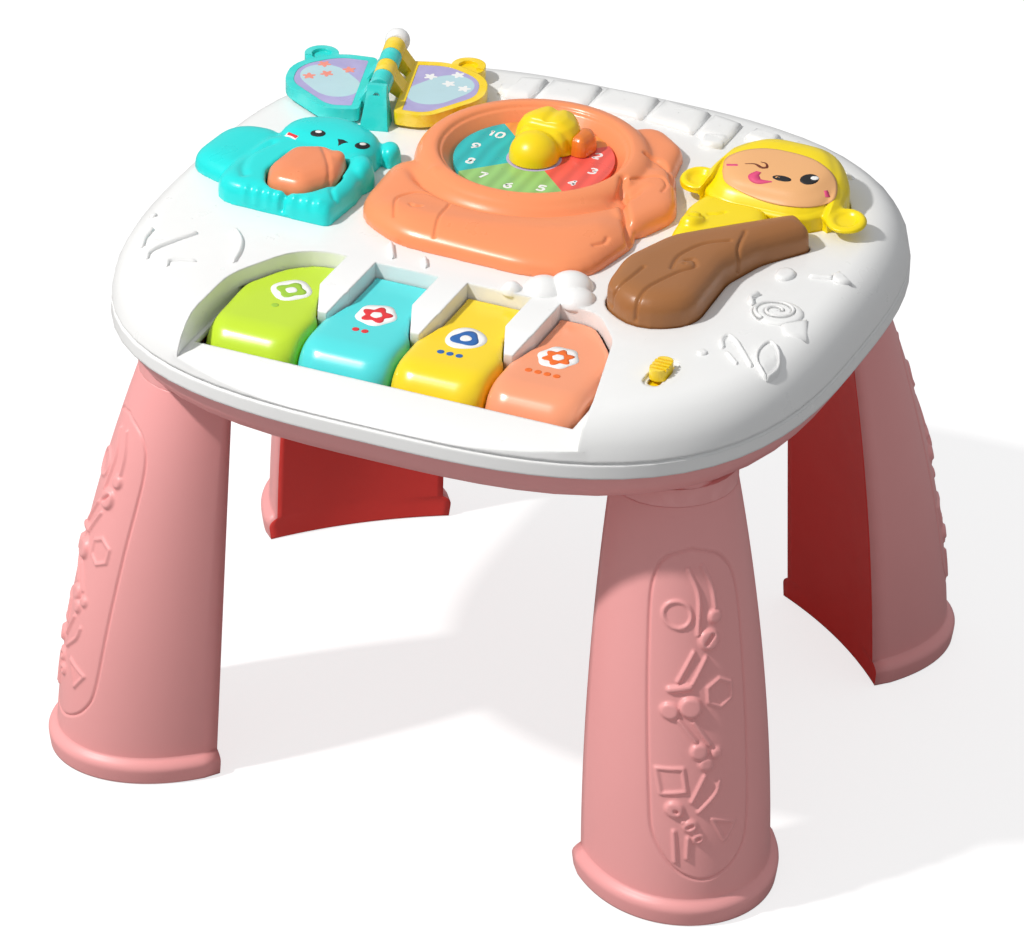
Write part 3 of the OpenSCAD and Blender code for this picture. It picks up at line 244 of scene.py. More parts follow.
def stations(points, spacing):
    """Even points along a line through the given ones."""
    points = np.asarray(points, float)
    run = np.concatenate([[0], np.cumsum(np.linalg.norm(np.diff(points, axis=0), axis=1))])
    count = max(2, int(run[-1] / spacing) + 1)
    at = np.linspace(0, run[-1], count)
    return np.stack([np.interp(at, run, points[:, k]) for k in range(points.shape[1])], 1)


def bent(points, steps=7):
    """A smooth curve through the given points."""
    p = np.asarray(points, float)
    p = np.vstack([2 * p[0] - p[1], p, 2 * p[-1] - p[-2]])
    out = []
    for i in range(1, len(p) - 2):
        for t in np.linspace(0, 1, steps, endpoint=False):
            out.append(0.5 * (2 * p[i] + (p[i + 1] - p[i - 1]) * t
                              + (2 * p[i - 1] - 5 * p[i] + 4 * p[i + 1] - p[i + 2]) * t * t
                              + (3 * p[i] - p[i - 1] - 3 * p[i + 1] + p[i + 2]) * t ** 3))
    out.append(p[-2])
    return np.array(out)


def off_line(at, line):
    """Distance of each point from a broken line."""
    nearest = np.full(len(at), 1e9)
    line = np.asarray(line, float)
    for a, b in zip(line[:-1], line[1:]):
        ab = b - a
        share = np.clip(((at - a) @ ab) / max(ab @ ab, 1e-9), 0, 1)
        nearest = np.minimum(nearest, np.linalg.norm(at - a - share[:, None] * ab, axis=1))
    return nearest


def closed_figure(sides, centre, radius, turn=0.0, flat=1.0):
    """A figure of equal sides whose last point is its first one again."""
    a = np.radians(np.arange(sides + 1) * 360 / sides + turn)
    return np.stack([centre[0] + radius * np.cos(a), centre[1] + radius * flat * np.sin(a)], 1)


def ridge(distance, half, soft):
    """1 on a ridge of that half width, falling softly to 0 beside it."""
    return 1 / (1 + np.exp((distance - half) / (soft * 0.25)))


def hoop_faces(loops, n, start=0, closed=True):
    """Four-sided faces between loops of n points that follow each other in the list of points."""
    return [(a + j, a + (j + 1) % n, a + n + (j + 1) % n, a + n + j)
            for a in range(start, start + (loops - 1) * n, n) for j in range(n if closed else n - 1)]


# the legs stand so far to each side and to front and back of a point a little behind the middle
leg_out, leg_along, legs_back = 127, 103, 3.5
leg_turn = 50
leg_top, leg_foot = 196.0, 12.0
leg_sets = (("leg_back_right", 1, 1), ("leg_back_left", -1, 1), ("leg_front_left", -1, -1),
            ("leg_front_right", 1, -1))


def leg_panel(v, z):
    """Height of the reliefs on a leg's outer face, at v across and z up."""
    at = np.stack([v, z], 1)
    height = np.zeros(len(at))
    tubes = ([(-4.5, 169), (-0.5, 157), (-2, 140)], [(2, 170), (6, 160), (7, 151)], [(-4.5, 132), (-12, 119)],
             [(1, 129), (-5.5, 118)], [(-12.5, 101), (-5.5, 91)], [(-6, 100), (1, 89)], [(-2, 74), (-8, 62)],
             [(5, 71), (3, 65), (-5, 57)], [(-16, 47), (-15.5, 32)], [(-10, 44), (-10.5, 34)], [(-12, 52), (-7, 46)])
    for tube in tubes:
        height = np.maximum(height, 1.3 * ridge(off_line(at, bent(tube)), 0.85, 0.9))
    for joint, size, rise in (
            ((6.5, 147), 3.0, 1.9), ((3, 137), 4.6, 2.2), ((-16, 105), 3.8, 1.9), ((-7, 107), 4.8, 2.4),
            ((-4, 86), 3.8, 2.0), ((4, 84.5), 2.4, 1.6), ((-1, 80), 3.2, 1.8), ((-15.5, 58), 3.8, 2.0),
            ((-9, 50), 3.0, 1.8), ((-5.5, 44), 2.6, 1.7)):
        height = np.maximum(height, rise * ridge(np.linalg.norm(at - joint, axis=1), size, 1.3))
    height = np.maximum(height, 1.8 * ridge(off_line(at, [(-15.5, 115), (-7, 116.5)]), 1.4, 1.1))
    ring, six_sided = closed_figure(36, (-10.5, 149), 6.0), closed_figure(6, (7, 112), 6.6, 30)
    square = [(-22.5, 77), (-11.5, 78), (-10.5, 67), (-21, 65), (-22.5, 77)]
    triangle = [(1, 53), (12.5, 49), (7, 41), (1, 53)]
    for figure in (ring, six_sided, square, triangle):
        height = np.maximum(height, 1.1 * ridge(off_line(at, figure), 0.75, 0.9))
    for slot in ([(1.5, 135.5), (4.5, 139)], [(-15, 57.5), (-14.5, 57)], [(-10, 49.5), (-8, 50.5)],
                 [(-6, 43.5), (-5, 44)]):
        height -= 1.5 * ridge(off_line(at, slot), 0.7, 0.7)
    oval = bent([(-2, 178), (-14, 174), (-20, 162), (-23, 136), (-25, 100), (-25.5, 60), (-24, 42), (-16, 28),
                 (-4, 22.5), (8, 26), (16, 34), (19.5, 46), (20.5, 75), (20.5, 115), (19, 156), (12, 172), (-2, 178)])
    return height - 1.0 * ridge(off_line(at, oval), 0.5, 0.5)


def leg_loop(share, inset, rim, arc, face):
    """One D-shaped loop of a leg at a height share, moved in by inset and out by rim."""
    # the half width and the depth shrink towards the neck, and the leg leans in as it rises
    wide = 44 - 14 * share * share - inset + rim
    deep = 61 - 29 * share ** 1.7 - inset + rim
    near = -15 * (0.55 * share + 0.45 * share * share) + inset
    corner = 84  # degrees round the outer face to where the flat one begins
    a = np.radians(np.linspace(-corner, corner, arc))
    outer_x = near + (deep - inset) * np.cos(a) ** 0.9
    outer = np.stack([outer_x, wide * np.sin(a) / math.sin(math.radians(corner))], 1)
    v = np.linspace(0.985, -0.985, face)
    inner = np.stack([near + 4.5 * (1 - v * v), wide * v], 1)
    return np.vstack([outer, inner])


def leg_skin():
    """Points and faces of a leg, and for each face a 1 where it looks inwards and gets the painted shade."""
    arc, face, rim_loops = 220, 26, 15
    rings = []
    bulge = 3.3 + 1.2 * np.sin(np.linspace(0, math.pi / 2, rim_loops))
    for h, out in zip(np.linspace(0, 1, rim_loops), bulge):
        fall = max(0.0, (h - 0.55) / 0.45)
        rings.append((h * leg_foot, 0.0, 0.0, out * (1 - fall ** 2.2)))
    for z in np.linspace(leg_foot + 0.6, leg_top, 300):
        rings.append((z, (z - leg_foot) / (leg_top - leg_foot), 0.0, 0.0))
    rings.append((leg_top, 1.0, 5.0, 0.0))
    outer_count = len(rings)
    inner_top, wall = 156.4, 2.6
    for z in np.linspace(inner_top, 0, 30):
        rings.append((z, z / (leg_top - leg_foot), wall, 0.0))
    points = []
    for z, share, inset, rim in rings:
        loop = leg_loop(min(share, 1.0), inset, rim, arc, face)
        points.append(np.column_stack([loop, np.full(len(loop), z)]))
    points = np.array(points)
    panel = points[rim_loops:outer_count - 1, :arc]
    slope = np.cross(np.gradient(panel, axis=1), np.gradient(panel, axis=0))
    slope /= np.linalg.norm(slope, axis=2, keepdims=True)
    rise = leg_panel(panel[..., 1].ravel(), panel[..., 2].ravel()).reshape(panel.shape[:2])
    panel_half = 27
    panel += slope * np.where(np.abs(panel[..., 1:2]) < panel_half, rise[..., None], 0)
    n = arc + face
    lid, roof, edge = (outer_count - 1) * n, outer_count * n, (len(rings) - 1) * n
    faces = hoop_faces(outer_count, n) + hoop_faces(len(rings) - outer_count, n, roof)
    faces += [tuple(lid + j for j in range(n)), tuple(roof + n - 1 - j for j in range(n))]
    faces += [(edge + j, edge + (j + 1) % n, (j + 1) % n, j) for j in range(n)]
    inside = [int(min(f) % n >= arc or min(f) >= lid) if len(f) == 4 else 0 for f in faces]
    return points.reshape(-1, 3), faces, inside


pink = (0.88, 0.385, 0.38)
leg_pink = plastic("leg_pink", pink, satin=0.42, tone=0.07, bump=0.35, grain=1900, rub=0.25)
# painted shade: the inward faces of each leg get a deep red that stands in for the shade and pink bounce light under
# the table
leg_painted_shade_red = plastic("leg_painted_shade_red", (0.86, 0.055, 0.045), satin=0.42, tone=0.12, bump=0.35, grain=1900,
                         rub=0.15)
leg_points, leg_faces, leg_painted_shade_faces = leg_skin()
for leg_name, side_x, side_y in leg_sets:
    turn = math.radians(side_y * leg_turn if side_x > 0 else 180 - side_y * leg_turn)
    u, v, z = leg_points.T
    placed = np.column_stack([side_x * leg_out + u * math.cos(turn) - v * math.sin(turn),
                              side_y * leg_along + legs_back + u * math.sin(turn) + v * math.cos(turn), z])
    leg = piece(leg_name + "_moulding", placed, leg_faces, leg_pink, "table")
    leg.data.materials.append(leg_painted_shade_red)
    leg.data.polygons.foreach_set("material_index", leg_painted_shade_faces)
    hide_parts(leg_name)

# ---- Tray: pink underside with the battery box ----
# One pink moulding closes the table from below, with collars for the legs, a battery box with
# a screwed cover, and holes for the loudspeaker. Screws pull it up against the top.
dress(plastic("tray_pink", pink, satin=0.42, tone=0.07, bump=0.3, grain=1900, rub=0.25, edge=0.5),
      "base_tray", "battery_cover", angle=34)


def metal(name, colour, rough, turned):
    """Bright metal with fine turned or drawn lines."""
    material, tree, shader = new_finish(name)
    place = tree_part(tree, "ShaderNodeTexCoord").outputs["Object"]
    stretched = tree_part(tree, "ShaderNodeMapping", {"Vector": place, "Scale": turned}).outputs["Vector"]
    lines = noise(tree, stretched, 1.0, 5.0)
    shade = tree_part(tree, "ShaderNodeValToRGB", {"Fac": lines})
    shade.color_ramp.elements[0].color = (*(c * 0.72 for c in colour), 1)
    shade.color_ramp.elements[1].color = (*colour, 1)
    grooves = tree_part(tree, "ShaderNodeBump", {"Strength": 0.15, "Distance": 0.0001, "Height": lines})
    feed(shader, {"Base Color": shade.outputs["Color"], "Normal": grooves.outputs["Normal"], "Metallic": 1.0,
                  "Roughness": mapped(tree, lines, onto=(rough - 0.1, rough + 0.12))})
    return material


dress(metal("screw_steel", (0.62, 0.62, 0.63), 0.32, (900, 900, 4000)),
      "leg_screws", "housing_screws", "battery_screw", "contact_screws", "spindle_screw")
dress(metal("rod_steel", (0.66, 0.66, 0.67), 0.26, (30, 2400, 2400)), "key_rod", "spine_pin", "battery_contacts")

# ---- Works inside: boards, loudspeaker, cells and rubber domes ----
# Green boards with black parts stand on posts of the tray. A domed rubber cap under each key
# and button closes a contact and lifts the key again. Three cells lie in the battery box.
dress(plastic("board_green", (0.03, 0.16, 0.06), satin=0.3, tone=0.5, bump=0.4, patch=260, grain=700, rub=0.1),
      "key_board", "main_board", "contact_boards")
dress(plastic("part_black", (0.025, 0.025, 0.028), satin=0.5, tone=0.3, bump=0.5, patch=90, grain=1700),
      "board_parts", "speaker", "switch_case")
dress(plastic("cell_blue", (0.05, 0.17, 0.2), satin=0.28, tone=0.12, bump=0.1, patch=30), "batteries")
dome_grey = plastic("dome_grey", (0.09, 0.09, 0.1), satin=0.66, tone=0.2, bump=0.5, grain=2200)
dome_milk = plastic("dome_milk", (0.7, 0.68, 0.63), satin=0.6, tone=0.12, bump=0.4, grain=2200)


def rubber_dome(node, material):
    """A thin-footed rubber cap, fixed to the table under the piece above."""
    (x0, y0, z0), (x1, y1, z1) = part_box(node)
    r, h = (x1 - x0) / MM / 2, (z1 - z0) / MM
    x, y, z = (x0 + x1) / MM / 2, (y0 + y1) / MM / 2, z0 / MM
    # the cap's outline, as shares of its half width and its height
    side = [(0.02, 0), (0.985, 0), (1, 0.04), (1, 0.16), (0.97, 0.2), (0.83, 0.26), (0.74, 0.5), (0.66, 0.76),
            (0.62, 0.9), (0.58, 0.975), (0.52, 1), (0.3, 1), (0.25, 0.96), (0.02, 0.96)]
    n = 48
    around = np.radians(np.arange(n) * 360 / n)
    points = [(x + r * a * math.cos(t), y + r * a * math.sin(t), z + h * b) for a, b in side for t in around]
    last = n * (len(side) - 1)
    faces = hoop_faces(len(side), n) + [tuple(range(n - 1, -1, -1)), tuple(range(last, last + n))]
    cap = piece(node + "_rubber", points, faces, material, "table")
    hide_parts(node)
    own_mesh(cap)


for colour, joint in (("green", "one"), ("teal", "two"), ("yellow", "three"), ("orange", "four")):
    rubber_dome("key_dome_" + colour, dome_grey)
for button in ("acorn", "monkey", "log"):
    rubber_dome(button + "_dome", dome_milk)
dress(plastic("spindle_grey", (0.62, 0.62, 0.63), satin=0.36, tone=0.08, edge=0.3), "spindle")

# ---- Top: white moulding with low reliefs ----
# The playing surface is one glossy white moulding with a rounded shoulder and a lip groove. Low
# reliefs are cast into it: strokes and a snail shell in front, a jointed pipe at the back.
top_white = plastic("top_white", (0.86, 0.865, 0.86), satin=0.3, tone=0.035, bump=0.1, rub=0.1, edge=1.5)
dress(top_white, "top_shell", angle=36)
# the side of the top: how far in from the lip it stands at each height over its lower edge
top_low = 223
top_side = np.array([(0.3, 8.5), (1.53, 15.6), (4.59, 21.6), (8.84, 26.1), (13.6, 29.1), (19.55, 30)])
top_level = top_low + 30
lip_x, lip_y, squareness = 175, 166.5, 2.95


def top_height(x, y):
    """Height of the white surface over a place, from how far in from the lip the place is."""
    low, high = np.zeros_like(x, float), np.full_like(x, 60.0, float)
    for _ in range(24):
        mid = (low + high) / 2
        inside = (np.abs(x) / (lip_x - mid)) ** squareness + (np.abs(y) / (lip_y - mid)) ** squareness < 1
        low, high = np.where(inside, mid, low), np.where(inside, high, mid)
    return top_low + np.interp(low, top_side[:, 0], top_side[:, 1])


def sideways(line):
    """The way across a line at each of its points."""
    tangent = np.gradient(line, axis=0)
    tangent /= np.maximum(np.linalg.norm(tangent, axis=1, keepdims=True), 1e-9)
    return np.column_stack([-tangent[:, 1], tangent[:, 0]])


class Cast:
    """Raised shapes gathered into one piece, here what comes out of the mould with the top."""

    sunk = 0.8

    def __init__(self):
        self.points, self.faces = [], []

    def add(self, rows, closed):
        self.faces += hoop_faces(len(rows), len(rows[0]), len(self.points), closed)
        self.points += [tuple(p) for row in rows for p in row]

    def bead(self, line, half, rise):
        """A rounded ridge along a line, its foot sunk into the surface."""
        step = min(1.2, half)
        line = stations(line, step)
        rows = []
        for i, (at, out) in enumerate(zip(line, sideways(line))):
            away = min(i, len(line) - 1 - i) * step
            end = math.sqrt(max(0.03, 1 - (1 - away / half) ** 2)) if away < half else 1.0
            row = []
            for a in np.radians(np.arange(0, 181, 20)):
                p = at + out * half * end * math.cos(a)
                z = top_height(np.array([p[0]]), np.array([p[1]]))[0]
                row.append((p[0], p[1], z - self.sunk + (rise + self.sunk) * math.sin(a) * (0.35 + 0.65 * end)))
            rows.append(row[::-1])
        self.add(rows, False)

    def boss(self, outline, rise, ease=0.45):
        """A raised flat shape with rounded edges."""
        outline = np.asarray(outline, float)
        centre = outline.mean(0)
        rows = []
        for share, up in ((1.0, -self.sunk / rise), (1.0, 0.1), (1 - 0.12 * ease, 0.55), (1 - 0.35 * ease, 0.85),
                          (1 - 0.75 * ease, 0.98), (1 - ease, 1.0), (0.3, 1.0), (0.02, 1.0)):
            ring = centre + (outline - centre) * share
            rows.append(np.column_stack([ring, top_height(ring[:, 0], ring[:, 1]) + rise * up]))
        self.add(rows, True)


cast = Cast()
cast.boss(closed_figure(14, (-157.5, -62), 1.8)[:-1], 1.2)
cast.bead([(-151.5, -74), (-151, -84), (-148.5, -92)], 1.3, 1.5)
cast.bead(bent([(-141, -102), (-142.5, -95.5), (-137.5, -83), (-130.5, -69.5)]), 1.3, 1.5)
cast.bead(bent([(-129, -105.5), (-130.5, -100), (-125, -97), (-118.5, -95)]), 1.2, 1.4)
cast.bead(bent([(-116, -59.5), (-109, -68), (-105, -78), (-103, -89)]), 1.4, 1.8)
cast.bead([(-45, -41), (-38, -54)], 1.5, 2.2)
cast.bead([(-25, -47), (-20.5, -55.5)], 1.5, 2.0)
spiral = [(142 + (2 + 9 * t) * math.cos(6 + 11 * t), -26 + (1.8 + 8 * t) * math.sin(6 + 11 * t))
          for t in np.linspace(0, 1, 60)]
cast.boss(closed_figure(40, (142, -26), 12.5, flat=0.9)[:-1], 1.6, 0.3)
cast.bead(spiral, 1.4, 2.6)
cast.boss(closed_figure(20, (132, 9.5), 4.6, flat=1.3)[:-1], 2.0)
cast.bead([(142, 13), (154, 16.5)], 1.7, 1.8)
cast.boss([(154, 22), (152, 17), (155, 12), (163, 15.5)], 2.4, 0.5)
cast.bead(bent([(128, -12), (126, -18), (129, -24)]), 1.6, 2.2)
cast.bead(bent([(132, -67.5), (128.5, -60), (129.5, -55), (134.5, -58), (141, -66), (150, -77.5)]), 1.3, 1.5)
cast.bead([(134.5, -69.5), (143.5, -78.5)], 1.2, 1.4)
leaf = [(158.5, -80), (151.5, -74), (148, -64), (149.5, -54), (156, -60), (160, -70), (158.5, -80)]
cast.boss(bent(leaf)[:-1], 1.5, 0.4)
cast.bead(bent(leaf), 1.1, 2.4)
cast.boss(closed_figure(16, (125, -75), 2.6)[:-1], 1.2)
cast.boss([(157, -26), (163, -42), (152, -44), (148, -36)], 1.6, 0.4)
for start, stop in ((-58, -45), (-43, -18), (-16, 12), (14, 40), (42, 58)):
    at = np.array([(x, 137 - (x * x) / 420) for x in np.linspace(start, stop, 9)])
    outline = np.vstack([at + [0, 11.5], (at + [0, -11.5])[::-1]])
    cast.boss(outline[::-1], 3.2, 0.5)
cast.boss([(47, 112), (58, 114), (57, 124), (46, 122)], 3.0, 0.4)
cast.boss([(64, 128), (78, 126), (80, 136), (66, 138)], 3.2, 0.4)
cast.boss([(86, 127), (100, 121), (103, 129), (89, 135)], 2.6, 0.4)
cast.bead([(104, 112), (118, 104)], 2.0, 1.8)
cast.bead([(112, 122), (126, 112)], 1.8, 1.6)
cast.boss([(-62, 121), (-52, 124), (-54, 132), (-64, 129)], 2.6, 0.4)
reliefs = piece("top_reliefs", cast.points, cast.faces, top_white, "table")

# ---- Keys: four hinged mouldings on a steel rod ----
# Each key is a hollow glossy moulding with a rounded front that swings on the rod. A printed
# white badge with a plain motif lies on its flat, with one to four dots under it.


def places_of(mesh):
    """Where the points of a mesh are, in metres, one row for each."""
    co = np.empty(len(mesh.vertices) * 3)
    mesh.vertices.foreach_get("co", co)
    return co.reshape(-1, 3)


def put_points(mesh, co):
    """Gives the points of a mesh their new places, in metres."""
    mesh.vertices.foreach_set("co", co.ravel())
    mesh.update()


def relax(mesh, passes, hold):
    """Works the facets of a skin smooth. hold is 0 where it stays as it is, up to 1."""
    co = places_of(mesh)
    n = len(co)
    ends = np.empty(len(mesh.edges) * 2, int)
    mesh.edges.foreach_get("vertices", ends)
    a, b = ends.reshape(-1, 2).T
    near = np.maximum(np.bincount(a, minlength=n) + np.bincount(b, minlength=n), 1)
    weight = np.clip(hold(co / MM), 0, 1)
    for _ in range(passes):
        for k in range(3):
            mean = (np.bincount(a, co[b, k], n) + np.bincount(b, co[a, k], n)) / near
            co[:, k] += 0.5 * weight * (mean - co[:, k])
    put_points(mesh, co)


def puffed(name, nodes, voxel, passes, hold, material, body):
    """The solids of some nodes as one fine even skin that can be worked further."""
    joined = bmesh.new()
    for node in nodes:
        joined.from_mesh(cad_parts[node].data)
    rough = bpy.data.meshes.new(name)
    joined.to_mesh(rough)
    joined.free()
    ob = bpy.data.objects.new(name, rough)
    bpy.context.scene.collection.objects.link(ob)
    even = ob.modifiers.new("even_skin", "REMESH")
    even.mode = "VOXEL"
    even.voxel_size = voxel * MM
    skin = bpy.data.meshes.new_from_object(ob.evaluated_get(bpy.context.evaluated_depsgraph_get()))
    skin.name = name
    ob.modifiers.clear()
    ob.data = skin
    relax(skin, passes, hold)
    skin.shade_smooth()
    skin.materials.clear()
    skin.materials.append(material)
    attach(ob, body)
    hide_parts(nodes[0])
    return ob


def shifted(ob, move):
    """Moves the skin by a way that depends on the place, both in millimetres."""
    co = places_of(ob.data)
    co += np.stack(np.broadcast_arrays(*move(*(co.T / MM))), 1) * MM
    put_points(ob.data, co)


def skin_of(ob):
    """A tree of the faces of a piece, to drop prints on."""
    return BVHTree.FromPolygons([v.co[:] for v in ob.data.vertices], [tuple(p.vertices) for p in ob.data.polygons])


def dropped(tree, at, lift, level):
    """Places on the skin, in millimetres: straight below, or where the lens sees a point of that level."""
    out, over_all = [], 400
    for x, y in at:
        start, way = Vector((x * MM, y * MM, over_all * MM)), Vector((0, 0, -1))
        if level is not None:
            start = lens_place
            way = (Vector((x, y, level)) * MM - start).normalized()
        spot, normal = tree.ray_cast(start, way)[:2]
        if spot is None:
            spot, normal = Vector((x * MM, y * MM, top_level * MM)), Vector((0, 0, 1))
        out.append((spot / MM + normal * lift)[:])
    return np.array(out)


def print_on(tree, name, outline, material, body, lift, rings=5, level=None):
    """A print that follows the skin under it, with an edge that dips into it."""
    outline = np.asarray(outline, float)
    centre = outline.mean(0)
    rows = [dropped(tree, outline, lift - 0.5, level)]
    rows += [dropped(tree, centre + (outline - centre) * s, lift, level) for s in np.linspace(1, 0.02, rings)]
    return piece(name, np.vstack(rows), hoop_faces(len(rows), len(outline)), material, body)


key_finish = {"key_green": ("key_one", (0.53, 0.74, 0.03)), "key_teal": ("key_two", (0.08, 0.70, 0.72)),
              "key_yellow": ("key_three", (0.93, 0.67, 0.012)), "key_orange": ("key_four", (0.90, 0.34, 0.18))}


def key_hold(at):
    """Lets the upper skin of a key go, most of all at its front end, and keeps it by the rod."""
    return np.clip((at[:, 2] - 229) / 6, 0, 1) * np.clip((-92 - at[:, 1]) / 22, 0.06, 1) * (at[:, 1] < -64)


keys = {}
first_key, key_step = -74.4, 46.5
for number, (key_name, (body, colour)) in enumerate(key_finish.items()):
    gloss = plastic(key_name + "_gloss", colour, satin=0.24, tone=0.06, bump=0.06, rub=0.2, coat=0.25)
    keys[key_name] = puffed(key_name + "_moulding", [key_name], 0.8, 90, key_hold, gloss, body)
    middle = first_key + key_step * number

    def round_front(x, y, z):
        """Rounds the front end down and draws its two corners back."""
        front = np.clip((-120 - y) / 18, 0, 1)
        corner = np.clip((np.abs(x - middle) - 10) / 12.6, 0, 1) ** 2.4 * np.clip((-118 - y) / 18, 0, 1)
        high = np.clip((z - 231) / 13, 0, 1)
        return 0, 4.5 * corner, -high * (9.5 * (1 - np.sqrt(1 - 0.98 * front ** 2)) + 1.5 * corner)

    shifted(keys[key_name], round_front)


def ink(name, colour):
    """Matt printing ink."""
    return plastic(name, colour, satin=0.6, tone=0.14, bump=0.2, patch=60, grain=2600, rub=0.0)


ink_white = ink("ink_white", (0.87, 0.87, 0.86))
ink_black = ink("ink_black", (0.012, 0.012, 0.014))
ink_red = ink("ink_red", (0.72, 0.03, 0.04))
ink_blue = ink("ink_blue", (0.02, 0.13, 0.42))
ink_orange = ink("ink_orange", (0.86, 0.16, 0.02))
ink_lime = ink("ink_lime", (0.34, 0.58, 0.05))


def petals(centre, radius, count, depth, turn=0.0, points=96, flat=1.0):
    """A round outline with soft lobes."""
    a = np.radians(np.arange(points) * 360 / points)
    r = radius * (1 + depth * np.cos(count * (a - math.radians(turn))))
    return np.stack([centre[0] + r * np.cos(a), centre[1] + r * flat * np.sin(a)], 1)


badges = {"key_green": ((-72.9, -89.6), ink_lime, 4, 0.16), "key_teal": ((-27.6, -94.4), ink_red, 5, 0.2),
          "key_yellow": ((18.3, -97.0), ink_blue, 3, 0.14), "key_orange": ((63.3, -95.3), ink_orange, 6, 0.18)}
for number, (key_name, (centre, colour, count, depth)) in enumerate(badges.items()):
    body, skin = key_finish[key_name][0], skin_of(keys[key_name])
    print_on(skin, key_name + "_badge", petals(centre, 9.4, count, 0.05, flat=1.05), ink_white, body, 0.10)
    print_on(skin, key_name + "_motif", petals(centre, 6.4, count, depth, 90), colour, body, 0.17)
    print_on(skin, key_name + "_heart", petals(centre, 2.7, count, 0.05), ink_white, body, 0.24)
    for dot in range(number + 1):
        spot = (centre[0] - 0.8 + (dot - number / 2) * 4.6, centre[1] - 16)
        print_on(skin, f"{key_name}_dot_{dot + 1}", petals(spot, 1.7, 3, 0.0, points=24), colour, body, 0.12)

# ---- Elephant: orange cover that holds the clock ----
# A puffed orange moulding, screwed to the top from below: the trunk in front with its creases,
# an ear at the right, the back behind it, and a high round rim with the clock face sunk in it.


def work(ob, push):
    """Moves the skin along its normals by push, which gets places and normals in millimetres."""
    co = places_of(ob.data)
    normal = np.empty(co.size)
    ob.data.vertex_normals.foreach_get("vector", normal)
    normal = normal.reshape(-1, 3)
    co += normal * push(co / MM, normal)[:, None] * MM
    put_points(ob.data, co)


def crease(at, line, half, deep):
    """A groove along a curve."""
    return -deep * np.exp(-(off_line(at[:, :2], bent(line)) / half) ** 2)


def deepest(at, *creases):
    """The deepest of some creases, each given as its line, half width and depth."""
    return np.minimum.reduce([crease(at, *one) for one in creases])


def lobe(at, centre, reach, rise):
    """A soft round swelling."""
    return rise * np.exp(-(np.linalg.norm(at[:, :2] - centre, axis=1) / reach) ** 2)


def upper(normal, z, at):
    """1 on the part of the skin that can be seen, 0 low down and inside."""
    return np.clip((at[:, 2] - z) / 1.5, 0, 1) * (normal[:, 2] > -0.3)


elephant_orange = plastic("elephant_orange", (0.92, 0.30, 0.125), satin=0.3, tone=0.06, bump=0.08, rub=0.08)
dial = np.array([sum(ends) / 2 / MM for ends in zip(*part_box("clock_face"))][:2])


def elephant_hold(at):
    """Keeps the foot of the cover and the opening of the dial as they are."""
    away = np.linalg.norm(at[:, :2] - dial, axis=1)
    opening = 46.5
    return np.clip((at[:, 2] - (top_level + 0.6)) / 2.5, 0, 1) * np.clip((away - opening) / 4, 0, 1)


elephant = puffed("elephant_moulding", ["elephant_cover"], 0.6, 26, elephant_hold, elephant_orange, "table")


def elephant_work(at, normal):
    push = deepest(at, ([(-47.5, -31), (-53, -17), (-50, -8), (-44, -4.5), (-39, -5)], 0.62, 1.1),
                   ([(-24, -38), (-27, -26), (-29, -10)], 0.62, 1.1),
                   ([(-44.5, -20), (-42, -21.5), (-39.5, -19.5)], 0.9, 0.9),
                   ([(47, -17), (50, -12), (50, -8)], 0.9, 0.9),
                   ([(39, 47), (43, 54), (50, 57), (55, 52), (56, 44)], 0.8, 0.9),
                   ([(36, 45), (42, 29), (49, 16), (57, 2)], 1.9, 2.8),
                   ([(36, 74), (41, 75), (49, 69), (57, 57)], 1.7, 2.0))
    away = at[:, :2] - dial
    turn = np.degrees(np.arctan2(away[:, 1], away[:, 0]))
    facing = np.clip((70 - np.abs(turn + 75)) / 18, 0, 1)
    # a valley round the foot of the rim at the front, and a soft swell before it
    push -= 3.4 * facing * np.exp(-((np.linalg.norm(away, axis=1) - 60.5) / 3.0) ** 2)
    brow = bent([(-51, -24), (-31, -26), (-3, -22), (27, -12), (42, -3)])
    push += 1.8 * np.exp(-(off_line(at[:, :2], brow) / 10) ** 2)
    push += lobe(at, (-48.7, 15), 3.0, 0.7)
    return push * upper(normal, top_level + 1, at)


work(elephant, elephant_work)

# ---- Clock: printed face and turning pointer ----
# The face is a glossy printed disc in four colours with plain hour numbers. The pointer is a
# yellow knob of three soft lobes with an amber beak, on a spindle through the face.


